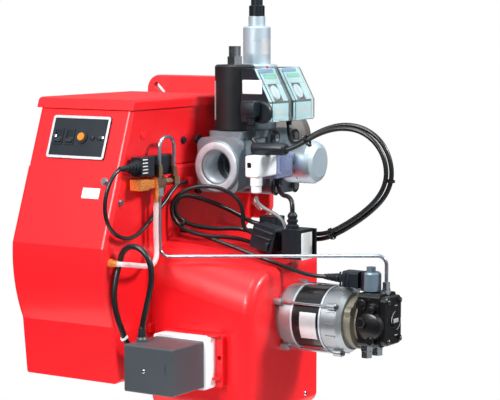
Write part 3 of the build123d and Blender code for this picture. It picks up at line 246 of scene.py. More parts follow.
def build_dust_group():
    """Fine dust that settles on faces that look up."""
    group, given, made = new_group(
        "Settled dust",
        [("Colour", COLOUR, (0.5, 0.5, 0.5, 1)), ("Dust", COLOUR, (0.45, 0.42, 0.38, 1)),
         ("Amount", NUMBER, 0.1)],
        [("Colour", COLOUR)])
    facing = group.nodes.new("ShaderNodeNewGeometry").outputs["Normal"]
    split = add_node(group, "ShaderNodeSeparateXYZ", {0: facing})
    upward = arithmetic(group, "MAXIMUM", split.outputs["Z"], 0.0)
    patchy = noise(group, object_coordinates(group), 70.0, 6.0, 0.7)
    mask = arithmetic(group, "MULTIPLY", upward, patchy)
    mask = arithmetic(group, "MULTIPLY", mask, given.outputs["Amount"])
    colour = blend_colours(group, mask, given.outputs["Colour"], given.outputs["Dust"])
    feed(group, made, {"Colour": colour})
    return group


BUILDERS = {"skin": build_skin_group, "cast": build_cast_group, "turned": build_turned_group,
            "dust": build_dust_group}
GROUPS = {}


def shader_group(kind):
    if kind not in GROUPS:
        GROUPS[kind] = BUILDERS[kind]()
    return GROUPS[kind]


# ---- materials
def place_group(tree, kind, values):
    node = tree.nodes.new("ShaderNodeGroup")
    node.node_tree = shader_group(kind)
    return feed(tree, node, values)


def opaque(colour):
    return (colour[0], colour[1], colour[2], 1.0)


def new_material(name, kind, colour, shade, scale, roughness, spread, relief, strength, dust, others):
    """Material with one grain group in colour, gloss and bump; others are its shader's other values."""
    material = bpy.data.materials.new(name)
    material.use_nodes = True
    tree = material.node_tree
    grain = place_group(tree, kind, {"Colour": opaque(colour), "Shade": opaque(shade), "Scale": scale,
                                     "Roughness": roughness, "Spread": spread})
    tint = grain.outputs["Colour"]
    if dust:
        tint = place_group(tree, "dust", {"Colour": tint, "Amount": dust}).outputs["Colour"]
    bump = add_node(tree, "ShaderNodeBump", {"Strength": strength, "Distance": relief * MICROMETRE,
                                             "Height": grain.outputs["Height"]})
    feed(tree, tree.nodes["Principled BSDF"],
         {"Base Color": tint, "Roughness": grain.outputs["Roughness"], "Normal": bump.outputs["Normal"],
          **others})
    return material


def new_finish(name, kind, colour, shade, scale, roughness, spread, relief, metallic,
               coat=0.0, coat_roughness=0.05, specular=0.5, dust=0.0):
    """Opaque finish."""
    return new_material(name, kind, colour, shade, scale, roughness, spread, relief, 0.6, dust,
                        {"Metallic": metallic, "Coat Weight": coat, "Coat Roughness": coat_roughness,
                         "Specular IOR Level": specular})


def new_clear(name, colour, roughness, transmission, refraction=1.46):
    """Clear or tinted moulding with faint flow marks."""
    darker = tuple(0.93 * part for part in colour)
    return new_material(name, "skin", colour, darker, 120.0, roughness, 0.03, 200, 0.15, 0.0,
                        {"Transmission Weight": transmission, "IOR": refraction})


# Finish: grain group, colour, shade, grain scale, roughness, its spread, relief in micrometres, metallic
# share and other values. A colour in quotes is a setting, and its shade is then a share of it.
FINISHES = {
    "red_hood": ("skin", "red", 0.93, 260, 0.38, 0.08, 40, 0,
        dict(coat=0.25, coat_roughness=0.16, specular=0.35, dust=0.02)),
    "red_casting": ("cast", "red", 0.92, 330, 0.38, 0.10, 80, 0,
        dict(coat=0.25, coat_roughness=0.16, specular=0.35, dust=0.02)),
    "red_flange": ("cast", (0.88, 0.045, 0.050), (0.80, 0.030, 0.036), 300, 0.28, 0.16, 450, 0,
        dict(coat=0.8, coat_roughness=0.12, dust=0.05)),
    "cover_grey": ("skin", "cover_grey", 0.85, 700, 0.42, 0.10, 50, 0, dict(specular=0.45, dust=0.05)),
    "moulded_black": ("skin", "black", 1.6, 900, 0.33, 0.12, 50, 0, dict(specular=0.40, dust=0.03)),
    "gloss_black": ("skin", (0.004, 0.004, 0.005), (0.008, 0.008, 0.009), 420, 0.20, 0.08, 30, 0,
        dict(coat=0.4, coat_roughness=0.08, specular=0.4, dust=0.02)),
    "pump_black": ("cast", (0.003, 0.003, 0.004), (0.006, 0.006, 0.007), 520, 0.30, 0.12, 120, 0,
        dict(coat=0.2, coat_roughness=0.12, specular=0.35, dust=0.02)),
    "coil_black": ("skin", (0.007, 0.008, 0.010), (0.012, 0.013, 0.015), 650, 0.38, 0.10, 50, 0,
        dict(specular=0.35, dust=0.03)),
    "aluminium": ("cast", (0.25, 0.30, 0.33), (0.15, 0.19, 0.22), 620, 0.40, 0.22, 220, 0.45),
    "bright_aluminium": ("turned", (0.60, 0.68, 0.73), (0.48, 0.55, 0.60), 700, 0.36, 0.12, 40, 0.4),
    "motor_aluminium": ("cast", (0.40, 0.43, 0.45), (0.30, 0.33, 0.35), 560, 0.32, 0.18, 80, 0.75),
    "silver_paint": ("skin", (0.60, 0.72, 0.80), (0.52, 0.64, 0.72), 800, 0.36, 0.08, 30, 0.6),
    "coil_can": ("skin", (0.20, 0.27, 0.33), (0.14, 0.20, 0.25), 500, 0.32, 0.10, 30, 0.4),
    "khaki_casting": ("cast", (0.24, 0.225, 0.17), (0.15, 0.14, 0.11), 480, 0.46, 0.16, 120, 0.55),
    "zinc": ("turned", (0.62, 0.66, 0.70), (0.44, 0.47, 0.50), 800, 0.20, 0.12, 20, 1),
    "drawn_steel": ("turned", (0.40, 0.45, 0.50), (0.28, 0.32, 0.36), 800, 0.30, 0.12, 20, 0.95),
    "chrome": ("turned", (0.62, 0.66, 0.70), (0.50, 0.54, 0.58), 600, 0.16, 0.08, 10, 1),
    "steel": ("turned", (0.52, 0.52, 0.53), (0.40, 0.40, 0.41), 700, 0.34, 0.16, 30, 1),
    "heat_steel": ("cast", (0.40, 0.38, 0.36), (0.26, 0.23, 0.21), 300, 0.42, 0.18, 60, 0.95),
    "brass": ("turned", (0.95, 0.40, 0.10), (0.85, 0.26, 0.06), 650, 0.28, 0.14, 30, 0.6),
    "bronze_nut": ("turned", (0.46, 0.30, 0.20), (0.32, 0.20, 0.13), 650, 0.30, 0.14, 30, 1),
    "ceramic": ("skin", (0.85, 0.83, 0.78), (0.78, 0.76, 0.70), 200, 0.20, 0.06, 20, 0, dict(coat=0.5)),
    "pale_plastic": ("skin", (0.90, 0.92, 0.94), (0.84, 0.86, 0.88), 900, 0.40, 0.10, 30, 0,
        dict(dust=0.04)),
    "grey_plastic": ("skin", (0.10, 0.10, 0.11), (0.08, 0.08, 0.09), 700, 0.45, 0.10, 40, 0),
    "plug_grey": ("skin", (0.88, 0.91, 0.94), (0.80, 0.84, 0.88), 800, 0.36, 0.10, 40, 0, dict(dust=0.04)),
    "amber": ("skin", (0.85, 0.30, 0.02), (0.70, 0.22, 0.02), 300, 0.20, 0.05, 20, 0, dict(coat=0.5)),
    "label_white": ("skin", (0.86, 0.87, 0.87), (0.80, 0.81, 0.81), 500, 0.38, 0.10, 10, 0,
        dict(dust=0.04)),
    "label_silver": ("turned", (0.74, 0.76, 0.78), (0.66, 0.68, 0.70), 500, 0.36, 0.08, 10, 0.6),
    "lacquer_red": ("skin", (0.75, 0.01, 0.02), (0.60, 0.01, 0.02), 400, 0.20, 0.05, 20, 0, dict(coat=0.6)),
    "board_green": ("skin", (0.22, 0.70, 0.48), (0.18, 0.60, 0.40), 300, 0.35, 0.08, 20, 0),
    "board_blue": ("skin", (0.12, 0.32, 0.60), (0.10, 0.26, 0.50), 300, 0.35, 0.08, 20, 0),
    "board_pale": ("skin", (0.74, 0.94, 0.97), (0.64, 0.86, 0.90), 300, 0.35, 0.08, 20, 0),
    "cable": ("skin", "cable", 1.8, 500, 0.30, 0.12, 40, 0, dict(specular=0.45, dust=0.02)),
    "cable_grey": ("skin", (0.20, 0.21, 0.22), (0.16, 0.17, 0.18), 500, 0.38, 0.10, 30, 0),
}
# Clear moulding: colour, roughness, transmission and, where it isn't glass-like, refraction.
CLEARS = {
    "clear": ((0.88, 0.97, 0.98), 0.05, 0.95),
    "violet_clear": ((0.62, 0.70, 0.93), 0.10, 0.85),
    "hose": ((0.97, 0.86, 0.88), 0.22, 0.45, 1.40),
}
MATERIALS = {}


def finish_of(name):
    """The finish of that name, made when it is first asked for."""
    if name in MATERIALS:
        return MATERIALS[name]
    if name in CLEARS:
        MATERIALS[name] = new_clear(name, *CLEARS[name])
    else:
        kind, colour, shade, *values = FINISHES[name]
        others = values.pop() if isinstance(values[-1], dict) else {}
        if isinstance(colour, str):
            colour = getattr(bpy.context.scene.burner_colours, colour)
            shade = tuple(shade * part for part in colour)
        MATERIALS[name] = new_finish(name, kind, colour, shade, *values, **others)
    return MATERIALS[name]


# ---- mesh helpers
def seat(origin, normal, up=(0, 0, 1)):
    """Local frame in millimetres: Z leaves the face at origin, Y runs up it."""
    out = Vector(normal).normalized()
    across = Vector(up).cross(out).normalized()
    matrix = Matrix((across, out.cross(across), out)).transposed().to_4x4()
    matrix.translation = Vector(origin)
    return matrix


def add_loops(mesh, place, rings, closed=True):
    """Skins a list of equal rings of local points, with a cap at both ends where it is closed."""
    rows = [[mesh.verts.new(place @ Vector(point)) for point in ring] for ring in rings]
    for low, high in zip(rows, rows[1:]):
        for index in range(len(low)):
            mesh.faces.new((low[index], low[index - len(low) + 1], high[index - len(low) + 1], high[index]))
    if closed:
        mesh.faces.new(reversed(rows[0]))
        mesh.faces.new(rows[-1])


def circle(radius, height, steps, x=0.0, y=0.0):
    turns = [2 * math.pi * step / steps for step in range(steps)]
    return [(x + radius * math.cos(turn), y + radius * math.sin(turn), height) for turn in turns]


def add_turned(mesh, place, outline, steps=40, x=0.0, y=0.0):
    """Turned form: outline is (height, radius) pairs along local Z; steps of 6 give a hexagon."""
    add_loops(mesh, place, [circle(max(radius, 0.001), height, steps, x, y) for height, radius in outline])


def rounded_outline(wide, high, corner, steps=5):
    points = []
    for number, (side, level) in enumerate(((1, 1), (-1, 1), (-1, -1), (1, -1))):
        for step in range(steps + 1):
            angle = math.pi / 2 * (number + step / steps)
            points.append((side * (wide / 2 - corner) + corner * math.cos(angle),
                           level * (high / 2 - corner) + corner * math.sin(angle)))
    return points


def add_slab(mesh, place, wide, high, low, top, corner=2.0, edge=0.5, x=0.0, y=0.0):
    """Rounded plate between two local heights, with a bevelled upper edge."""
    edge = min(edge, (top - low) * 0.5, corner * 0.9)
    full = rounded_outline(wide, high, corner)
    middle = rounded_outline(wide - 0.6 * edge, high - 0.6 * edge, corner - 0.3 * edge)
    small = rounded_outline(wide - 2 * edge, high - 2 * edge, corner - edge + 0.01)
    rings = [[(x + a, y + b, height) for a, b in outline] for outline, height in
             ((full, low), (full, top - edge), (middle, top - 0.3 * edge), (small, top))]
    add_loops(mesh, place, rings)


def add_lathe(mesh, place, profile, steps=48):
    """Ring form round local Z: profile is a closed run of (height, radius) pairs."""
    rings = [circle(radius, height, steps) for height, radius in profile + profile[:1]]
    add_loops(mesh, place, rings, False)


def add_wrap(mesh, place, radius, low, high, start, end, thick=0.4, steps=16):
    """Sheet wrapped round local Z from the start to the end angle, in degrees."""
    rings = []
    for step in range(steps + 1):
        angle = math.radians(start + (end - start) * step / steps)
        c, s = math.cos(angle), math.sin(angle)
        rings.append([(r * c, r * s, h) for r, h in
                      ((radius, low), (radius + thick, low), (radius + thick, high), (radius, high))])
    add_loops(mesh, place, rings)


def add_frame(mesh, place, wide, high, border, low, top, corner=3.0):
    """Flat rounded border, open in the middle."""
    outer = rounded_outline(wide, high, corner)
    inner = rounded_outline(wide - 2 * border, high - 2 * border, max(corner - border, 0.5))
    rings = [[(a, b, height) for a, b in outline] for outline, height in
             ((outer, low), (outer, top), (inner, top), (inner, low), (outer, low))]
    add_loops(mesh, place, rings, False)


def add_cross_screw(mesh, place, radius, height):
    """Domed screw head."""
    add_turned(mesh, place, [(0, radius), (height * 0.45, radius), (height * 0.8, radius * 0.82),
                             (height, radius * 0.5)], 28)


def add_painted_cross(mesh, place, radius, height):
    """Driver cross laid just proud of a domed head; in the dark finish it is painted shade of the cross
    recess.
    """
    for wide, high in ((radius * 1.1, radius * 0.26), (radius * 0.26, radius * 1.1)):
        add_slab(mesh, place, wide, high, height - 0.3, height + 0.05, radius * 0.1, 0.02)


def add_piece(name, mesh, finish, bevel=0.0):
    """Turns a mesh built in millimetres into a piece that rides on the burner's body."""
    data = bpy.data.meshes.new(name)
    bmesh.ops.remove_doubles(mesh, verts=mesh.verts, dist=0.002)
    bmesh.ops.recalc_face_normals(mesh, faces=mesh.faces)
    bmesh.ops.scale(mesh, vec=(MM, MM, MM), verts=mesh.verts)
    mesh.to_mesh(data)
    mesh.free()
    data.materials.append(finish_of(finish))
    for polygon in data.polygons:
        polygon.use_smooth = True
    data.set_sharp_from_angle(angle=SMOOTH_BELOW)
    piece = bpy.data.objects.new(name, data)
    bpy.context.scene.collection.objects.link(piece)
    if bevel:
        edge = piece.modifiers.new("Worn edge", "BEVEL")
        edge.width = bevel * MM
        edge.segments = 2
        edge.limit_method = "ANGLE"
    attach(piece, ROOT)
    return piece


def build_piece(name, finish, add, *parts, bevel=0.0):
    """One piece from several forms of a kind; each part is what the form's helper takes."""
    mesh = bmesh.new()
    for part in parts:
        add(mesh, *part)
    return add_piece(name, mesh, finish, bevel)


def plate_piece(name, origin, normal, wide, high, thick, finish, corner=1.5, up=TOP):
    return build_piece(name, finish, add_slab,
                       (seat(origin, normal, up), wide, high, -0.2, thick, corner, 0.3))


def wrap_piece(name, origin, normal, radius, low, high, start, end, finish, up=TOP, thick=0.4):
    return build_piece(name, finish, add_wrap,
                       (seat(origin, normal, up), radius, low, high, start, end, thick))


def screw_pieces(name, places, normal, radius, height, finish, slot="gloss_black"):
    """Domed screw heads on one face, with driver crosses painted on them; a dark cross is painted shade in
    the recess.
    """
    seats = [(seat(origin, normal), radius, height) for origin in places]
    build_piece(name, finish, add_cross_screw, *seats)
    build_piece(name + "_slots", slot, add_painted_cross, *seats)


def bent_path(points, bend, steps=10):
    """Straight runs with a round bend at every inner point."""
    corners = [Vector(point) for point in points]
    path = [corners[0]]
    for before, corner, after in zip(corners, corners[1:], corners[2:]):
        back, ahead = (before - corner).normalized(), (after - corner).normalized()
        half = back.angle(ahead) / 2
        reach = bend / math.tan(half)
        centre = corner + (back + ahead).normalized() * (bend / math.sin(half))
        first, last = corner + back * reach - centre, corner + ahead * reach - centre
        for step in range(steps + 1):
            path.append(centre + first.slerp(last, step / steps) * bend)
    return path + [corners[-1]]


def add_tube(mesh, points, bend, radius, steps=20):
    """Bent round pipe through the corner points."""
    path = bent_path(points, bend)
    ways = [(after - before).normalized() for before, after in zip(path, path[1:])]
    ways = [ways[0]] + [(one + two).normalized() for one, two in zip(ways, ways[1:])] + [ways[-1]]
    side = ways[0].orthogonal().normalized()
    rings = []
    for place, way in zip(path, ways):
        side = (side - way * side.dot(way)).normalized()
        other = way.cross(side)
        rings.append([place + side * x + other * y for x, y, _ in circle(radius, 0, steps)])
    add_loops(mesh, Matrix.Identity(4), rings)


def dress(node, finish, *others):
    """Gives a frame node its finish; others are (finish, low corner, high corner) in millimetres."""
    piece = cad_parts[node]
    data = piece.data
    data.materials.clear()
    data.materials.append(finish_of(finish))
    for number, (name, low, high) in enumerate(others, 1):
        data.materials.append(finish_of(name))
        for polygon in data.polygons:
            centre = polygon.center / MM
            if all(a <= c <= b for a, c, b in zip(low, centre, high)):
                polygon.material_index = number


# ---- cables and hose
LOOP_A = [(206, -182, 52), (206, -182, 35), (220, -186, 18), (248, -190, 12), (280, -186, 13),
          (306, -179, 26), (336, -172, 44), (372, -168, 54), (409, -165, 51), (438, -163, 33),
          (456, -162, 5), (460, -162, -28), (447, -163, -58), (421, -166, -84), (389, -169, -106),
          (357, -167, -123), (328, -160, -130), (300, -155, -130), (276, -153, -127), (252, -153, -127)]
LOOP_B = [(222, -84, 58), (222, -84, 45), (232, -99, 32), (248, -120, 25), (267, -143, 22),
          (288, -162, 24), (311, -170, 34), (338, -164, 50), (374, -160, 60), (412, -157, 56),
          (443, -155, 37), (462, -154, 6), (466, -154, -30), (452, -155, -62), (424, -158, -89),
          (391, -161, -112), (358, -159, -130), (329, -153, -139), (302, -149, -141),
          (276, -147, -139), (252, -147, -139)]
PLUG_LEAD = [(226, -126, -40), (226, -126, -52), (235, -135, -64), (252, -152, -68),
             (271, -172, -66), (288, -190, -66), (300, -200, -73), (300, -200, -90)]
RING = [(212, -156, -120), (194, -156, -120), (173, -172, -104), (151, -200, -86), (129, -232, -71),
        (112, -254, -65), (105, -268, -78), (106, -268, -98), (115, -257, -113), (135, -241, -121),
        (159, -222, -125), (182, -204, -124), (203.3, -194, -126.1), (224.6, -194, -131.38)]
PUMP = [(103, -246, -129), (121, -246, -129), (146, -248, -134), (172, -248, -140), (200, -247, -147),
        (226, -246, -154), (250, -245, -161), (274, -243, -167), (297, -236, -175), (320, -225, -185),
        (344, -212, -193), (369, -203, -194), (394.7, -203, -194)]
OIL_VALVE = [(113.8, -424, -8), (113.8, -441, -8), (112, -457, -22), (108, -467, -46),
             (106, -469, -74), (107, -461, -100), (110, -443, -117), (112, -419, -125),
             (111, -393, -124), (108, -368, -116), (107, -345, -103), (107, -322, -88),
             (107, -300, -74), (107, -279, -57), (107, -257, -44), (107, -237, -44)]
SERVO = [(150, -428, -283), (150, -428, -266), (157, -428, -241), (166, -429, -211), (173, -430, -180),
         (168, -431, -153), (151, -432, -136), (131, -432, -133), (114, -431, -143), (107, -431, -165),
         (106, -440, -190), (106, -446, -217), (109, -444, -245), (115, -438, -271), (119, -428, -298),
         (120, -406, -318), (120, -368, -321), (120, -331, -321)]
HOSE = [(116, -447, -163), (126, -447, -163), (131, -432, -165), (133, -412, -169),
        (134, -391, -172), (131, -370, -172), (126, -353, -164), (121, -345, -146),
        (120.5, -346.5, -120), (121, -346, -95), (121, -346, -70)]
RING_TURN = [(223, -196, -150), (206, -210, -141), (188, -233, -136), (163, -254, -135), (136, -268, -128),
             (116, -280, -113), (107, -284, -91), (111, -280, -70), (127, -267, -55), (148, -250, -49),
             (172, -240, -50), (194, -229, -60), (207, -219, -76), (210, -214, -96), (207, -212, -114),
             (213, -207, -127), (224, -202, -131)]
OIL_RUN = [(481, -200, -208), (481, -200, -151), (120, -334, -163), (120, -334, -54)]
OIL_LOOP = [(120, -334, -46), (120, -334, 38), (120, -292, 38), (120, -292, -33)]
GREY_LEAD = [(232, -207, -66), (232, -207, -74), (241, -205, -83), (256, -203, -90), (272, -202, -97),
             (284, -202, -106), (288, -202, -118)]


# Cord: route, the setting that is its diameter, length in metres, finish, the frame node that it stands
# for, and its strain relief: name, whether it is at the route's start, base and tip radius, length.
CORDS = (
    ("lead_loop_a", LOOP_A, "lead", 0.588, "cable", "cable_loop_a",
     ("relief_box_plug", True, 9.0, 6.6, 24)),
    ("lead_loop_b", LOOP_B, "lead", 0.618, "cable", "cable_loop_b",
     ("relief_box_2", True, 5.6, 4.4, 10)),
    ("lead_to_plug", PLUG_LEAD, "lead", 0.137, "cable", "cable_plug_lead",
     ("relief_valve_side", True, 8.0, 6.2, 16)),
    ("lead_ring", RING, "lead", 0.347, "cable", "cable_ring",
     ("relief_left_plug", False, 6.0, 4.4, 16)),
    ("lead_pump", PUMP, "thin_lead", 0.309, "cable", "cable_pump",
     ("relief_pump_plug", False, 7.6, 4.2, 30)),
    ("lead_oil_valve", OIL_VALVE, "thin_lead", 0.372, "cable", "cable_oil_valve",
     ("relief_oil_valve", True, 5.4, 3.9, 14)),
    ("lead_servo", SERVO, "servo_lead", 0.459, "cable", "cable_servo",
     ("relief_servo", True, 7.4, 5.4, 16)),
    ("hose_drain", HOSE, "hose", 0.202, "hose", "drain_hose", None),
    ("lead_ring_turn", RING_TURN, "thin_lead", 0.380, "cable", None, None),
    ("lead_grey", GREY_LEAD, "grey_lead", 0.081, "cable_grey", None, None),
)


def lay_cord(name, route, diameter, finish, node):
    """Cable or hose on one smooth line."""
    curve = bpy.data.curves.new(name, "CURVE")
    curve.dimensions = "3D"
    line = curve.splines.new("NURBS")
    line.points.add(len(route) - 1)
    for point, place in zip(line.points, route):
        point.co = (place[0] * MM, place[1] * MM, place[2] * MM, 1.0)
    line.order_u = 3
    line.use_endpoint_u = True
    line.resolution_u = 10
    curve.bevel_depth = diameter / 2
    curve.bevel_resolution = 6
    curve.use_fill_caps = True
    curve.materials.append(finish_of(finish))
    piece = bpy.data.objects.new(name, curve)
    bpy.context.scene.collection.objects.link(piece)
    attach(piece, ROOT)
    if node:
        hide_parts(node)


def add_sleeve(name, start, ahead, base, tip, length):
    """Tapered strain relief with four grip rings, from a gland along the cable."""
    outline = [(0, base)]
    for number in range(4):
        low, high = length * (number + 0.35) / 4, length * (number + 0.75) / 4
        near = base + (tip - base) * number / 4
        outline += [(low, near), (low + 0.2, near - 0.7), (high, near - 0.8), (high + 0.2, near - 0.15)]
    outline.append((length, tip))
    place = seat(start, Vector(ahead) - Vector(start), (0.3, 0.2, 0.9))
    return build_piece(name, "moulded_black", add_turned, (place, outline, 28))


class BURNER_OT_cables(Operator):
    """Lay the control leads, magnet leads, servo lead and drain hose"""

    bl_idname = "burner.cables"
    bl_label = "Cables and hose"

    def execute(self, context):
        for name, route, size, length, finish, node, relief in CORDS:
            if relief:
                label, at_start, base, tip, reach = relief
                start, ahead = route[:2] if at_start else (route[-1], route[-2])
                add_sleeve(label, start, ahead, base, tip, reach)
            lay_cord(name, route, getattr(context.scene.burner_sizes, size), finish, node)
        return {"FINISHED"}


# ---- frame finishes
PAINTWORK = {
    "red_flange": ("mounting_flange",),
    "red_casting": ("main_body", "volute_housing"),
    "red_hood": ("hood", "servo_bracket"),
    "cover_grey": ("servo_cover",),
}
METALWORK = {
    "heat_steel": ("blast_tube", "air_diffuser", "gas_head"),
    "steel": ("oil_nozzle_line", "fan_wheel", "fan_inlet_ring", "air_damper", "motor_shaft"),
    "aluminium": ("valve_body", "gas_outlet_flange"),
    "silver_paint": ("regulator_housing", "valve_coil_2", "brake_cylinder"),
    "chrome": ("flow_adjuster", "motor_tie_bolts", "pump_fittings"),
    "motor_aluminium": ("motor_front_bell", "motor_rear_bell"),
    "khaki_casting": ("pump_bracket",),
    "ceramic": ("ignition_electrodes",),
}
MOULDINGS = {
    "moulded_black": ("panel_switch_1", "panel_switch_2", "inlet_grille", "shaft_coupling", "brake_knob",
                      "oil_valve_coil", "switch_boxes", "plug_boxes", "control_panel"),
    "gloss_black": ("motor_stator",),
    "pump_black": ("pump_body", "pump_cover"),
    "amber": ("reset_button",),
    "grey_plastic": ("ignition_transformer",),
    "pale_plastic": ("servo_base", "pressure_switch", "setting_dial_1", "setting_dial_2"),
    "clear": ("switch_windows",),
    "violet_clear": ("pressure_switch_cover",),
}


def dress_all(table):
    for finish, nodes in table.items():
        for node in nodes:
            dress(node, finish)
    return {"FINISHED"}


class BURNER_OT_paintwork(Operator):
    """Gloss red paint on the castings and the hood"""

    bl_idname = "burner.paintwork"
    bl_label = "Red paintwork"

    def execute(self, context):
        return dress_all(PAINTWORK)


class BURNER_OT_metalwork(Operator):
    """Cast, turned and plated metal of the gas train, motor, pump and burner head"""

    bl_idname = "burner.metalwork"
    bl_label = "Metalwork"

    def execute(self, context):
        dress("hex_screws", "chrome", ("moulded_black", (97, -245, 15), (104, -221, 40)))
        dress("brass_fittings", "brass", ("zinc", (108, -347, -75), (130, -320, -46)),
              ("bronze_nut", (108, -347, -46), (130, -284, -26)))
        return dress_all(METALWORK)


class BURNER_OT_mouldings(Operator):
    """Moulded plastic, coils, plugs, clear covers and knobs"""

    bl_idname = "burner.mouldings"
    bl_label = "Mouldings"

    def execute(self, context):
        dress("pump_coil", "moulded_black", ("coil_can", (450, -222, -214), (473, -184, -170)))
        dress("connector_plugs", "moulded_black", ("plug_grey", (215, -222, -62), (244, -159, 6)))
        dress("valve_coil_1", "coil_black", ("zinc", (130, -165, 156.2), (165, -125, 175)))
        return dress_all(MOULDINGS)


# ---- small fittings
class BURNER_OT_gas_fittings(Operator):
    """Thread, screws, labels and boards of the gas train"""

    bl_idname = "burner.gas_fittings"
    bl_label = "Gas train fittings"

    def execute(self, context):
        self.inlet()
        self.valve_screws()
        for number, front in enumerate((-169, -92), 1):
            self.switch_inside(number, front + 32)
        self.labels()
        self.plugs()
        return {"FINISHED"}

    def inlet(self):
        thread = [(-2.0, 28.45), (-46.0, 28.45), (-46.0, 27.4)]
        for turn in range(18):
            thread += [(-45.0 + 2.3 * turn, 28.2), (-43.9 + 2.3 * turn, 27.2)]
        face = [(-0.2, 30.5), (0.5, 31.0), (0.9, 32.0), (0.9, 41.5), (0.4, 42.5), (-0.2, 42.8)]
        for name, profile in (("inlet_thread", thread), ("inlet_face", face)):
            build_piece(name, "bright_aluminium", add_lathe, (seat(GAS_INLET, REAR), profile))

    def valve_screws(self):
        washer = [(0, 7.0), (0, 12.6), (1.6, 12.6), (2.4, 11.8), (2.4, 7.0)]
        build_piece("valve_screw_washers", "gloss_black", add_lathe,
                    *((seat((201.6, y, z), OUT), washer) for y in (-96, -30) for z in (-63, 27)))
        hexagon = [(0, 9.5), (1.6, 9.5), (1.8, 7.4), (7, 7.4), (7.6, 6.4)]
        build_piece("inlet_side_screws", "moulded_black", add_turned,
                    *((seat((110, -200, z), LEFT), hexagon, 6) for z in (26.5, -60.6)))

    def switch_inside(self, number, middle):
        """Pale carrier, boards and ridges behind a clear cover, which slopes above and is upright below."""
        slope = seat((218.5, middle, 121), (58, 0, 31), (-31, 0, 58))
        forms = (
            ("switch_carrier", "board_pale", (slope, 60, 30, -0.2, 0.8, 2, 0.3, 0, 17),
             (slope, 15, 33, -0.2, 0.8, 2, 0.3, -22.4, -15), (slope, 15, 33, -0.2, 0.8, 2, 0.3, 22.4, -15),
             (seat((234, middle, 75), OUT), 58, 30, -0.2, 0.8, 2, 0.3)),
            ("switch_board", "board_green", (slope, 40, 8, 0.8, 2.2, 1, 0.3, 4, 16)),
            ("switch_strip", "board_blue", (slope, 44, 7, 0.8, 2.0, 1, 0.3, -2, 26)),
            ("switch_ridges", "plug_grey", (slope, 52, 1.2, 0.8, 1.4, 0.4, 0.1, 0, 9.5),
             (slope, 52, 0.8, 0.8, 1.4, 0.3, 0.1, 0, 6.5)),
            ("switch_plate", "label_white", (seat((234.8, middle, 76), OUT), 34, 12, -0.1, 0.6, 1, 0.2)))
        for name, finish, *slabs in forms:
            build_piece("%s_%d" % (name, number), finish, add_slab, *slabs)

    def labels(self):
        plate_piece("switch_label", (199.5, -169, 118.7), REAR, 40, 24, 0.5, "label_white")
        boss = [(-0.5, 19.5), (4.5, 19.5), (6.2, 18.6), (6.8, 16.5), (6.8, 14), (5.6, 13.6), (5.6, 0)]
        build_piece("switch_boss", "moulded_black", add_turned, (seat((222, -169, 75.5), REAR), boss))
        wrap_piece("coil_1_strip", COIL_1_AXIS, TOP, 35, 60, 128, -150, -128, "label_silver", FORWARD)
        wrap_piece("brake_label", COIL_2_AXIS, TOP, 24.5, 172, 200, -40, 10, "label_silver", FORWARD)
        wrap_piece("regulator_label", REGULATOR_FOOT, OUT, 38, 4, 24, 148, 196, "label_white")
        wrap_piece("regulator_seam", (236, *REGULATOR_FOOT[1:]), OUT, 37.9, 0, 1.6, 0, 360, "grey_plastic",
                   thick=0.6)
        dots = []
        for angle in (math.radians(-83), math.radians(-28)):
            away = (math.cos(angle), math.sin(angle), 0)
            rim = (COIL_2_AXIS[0] + 36.6 * away[0], COIL_2_AXIS[1] + 36.6 * away[1], 151)
            dots.append((seat(rim, away), [(-0.5, 2.4), (0.8, 2.2), (1.3, 1.2)], 20))
        build_piece("lacquer_dots", "lacquer_red", add_turned, *dots)

    def plugs(self):
        # Dark squares on the plug faces: painted shade of their screw wells.
        build_piece("plug_screw_wells", "gloss_black", add_slab,
                    (seat((226, -220.2, -12), REAR), 8, 9, -0.1, 0.5, 2, 0.2),
                    (seat((206, -195.2, 76), REAR), 8, 9, -0.1, 0.5, 2, 0.2))
        plate_piece("plug_lid", (206, -194.8, 83), REAR, 27, 20, 1.6, "moulded_black", 3)
        build_piece("loop_boot", "moulded_black", add_slab,
                    (seat((214, -185, 14), (1, -0.03, 0.02)), 26, 21, 0, 66, 9, 6), bevel=1.5)
        plate_piece("limit_plate", (243, -131, -15), OUT, 34, 26, 0.5, "violet_clear", 2)
        left_plug = seat((247, -211, -137), REAR, (0.24, 0, 0.97))
        build_piece("plug_ribs", "moulded_black", add_slab,
                    *((seat((404 + 7 * step, -217, -193.5), REAR), 3.4, 25, -0.2, 1.3, 1, 0.4)
                      for step in range(3)),
                    (left_plug, 40, 6, -0.2, 2.4, 2, 0.8, 0, 12),
                    (left_plug, 30, 4, -0.2, 3.2, 1.5, 0.8, 2, 1),
                    (left_plug, 8, 14, -0.2, 4.0, 2, 0.8, 12, -11))
        plate_piece("box_plug_label", (330, -203, -145), OUT, 34, 46, 0.5, "label_white", 2)


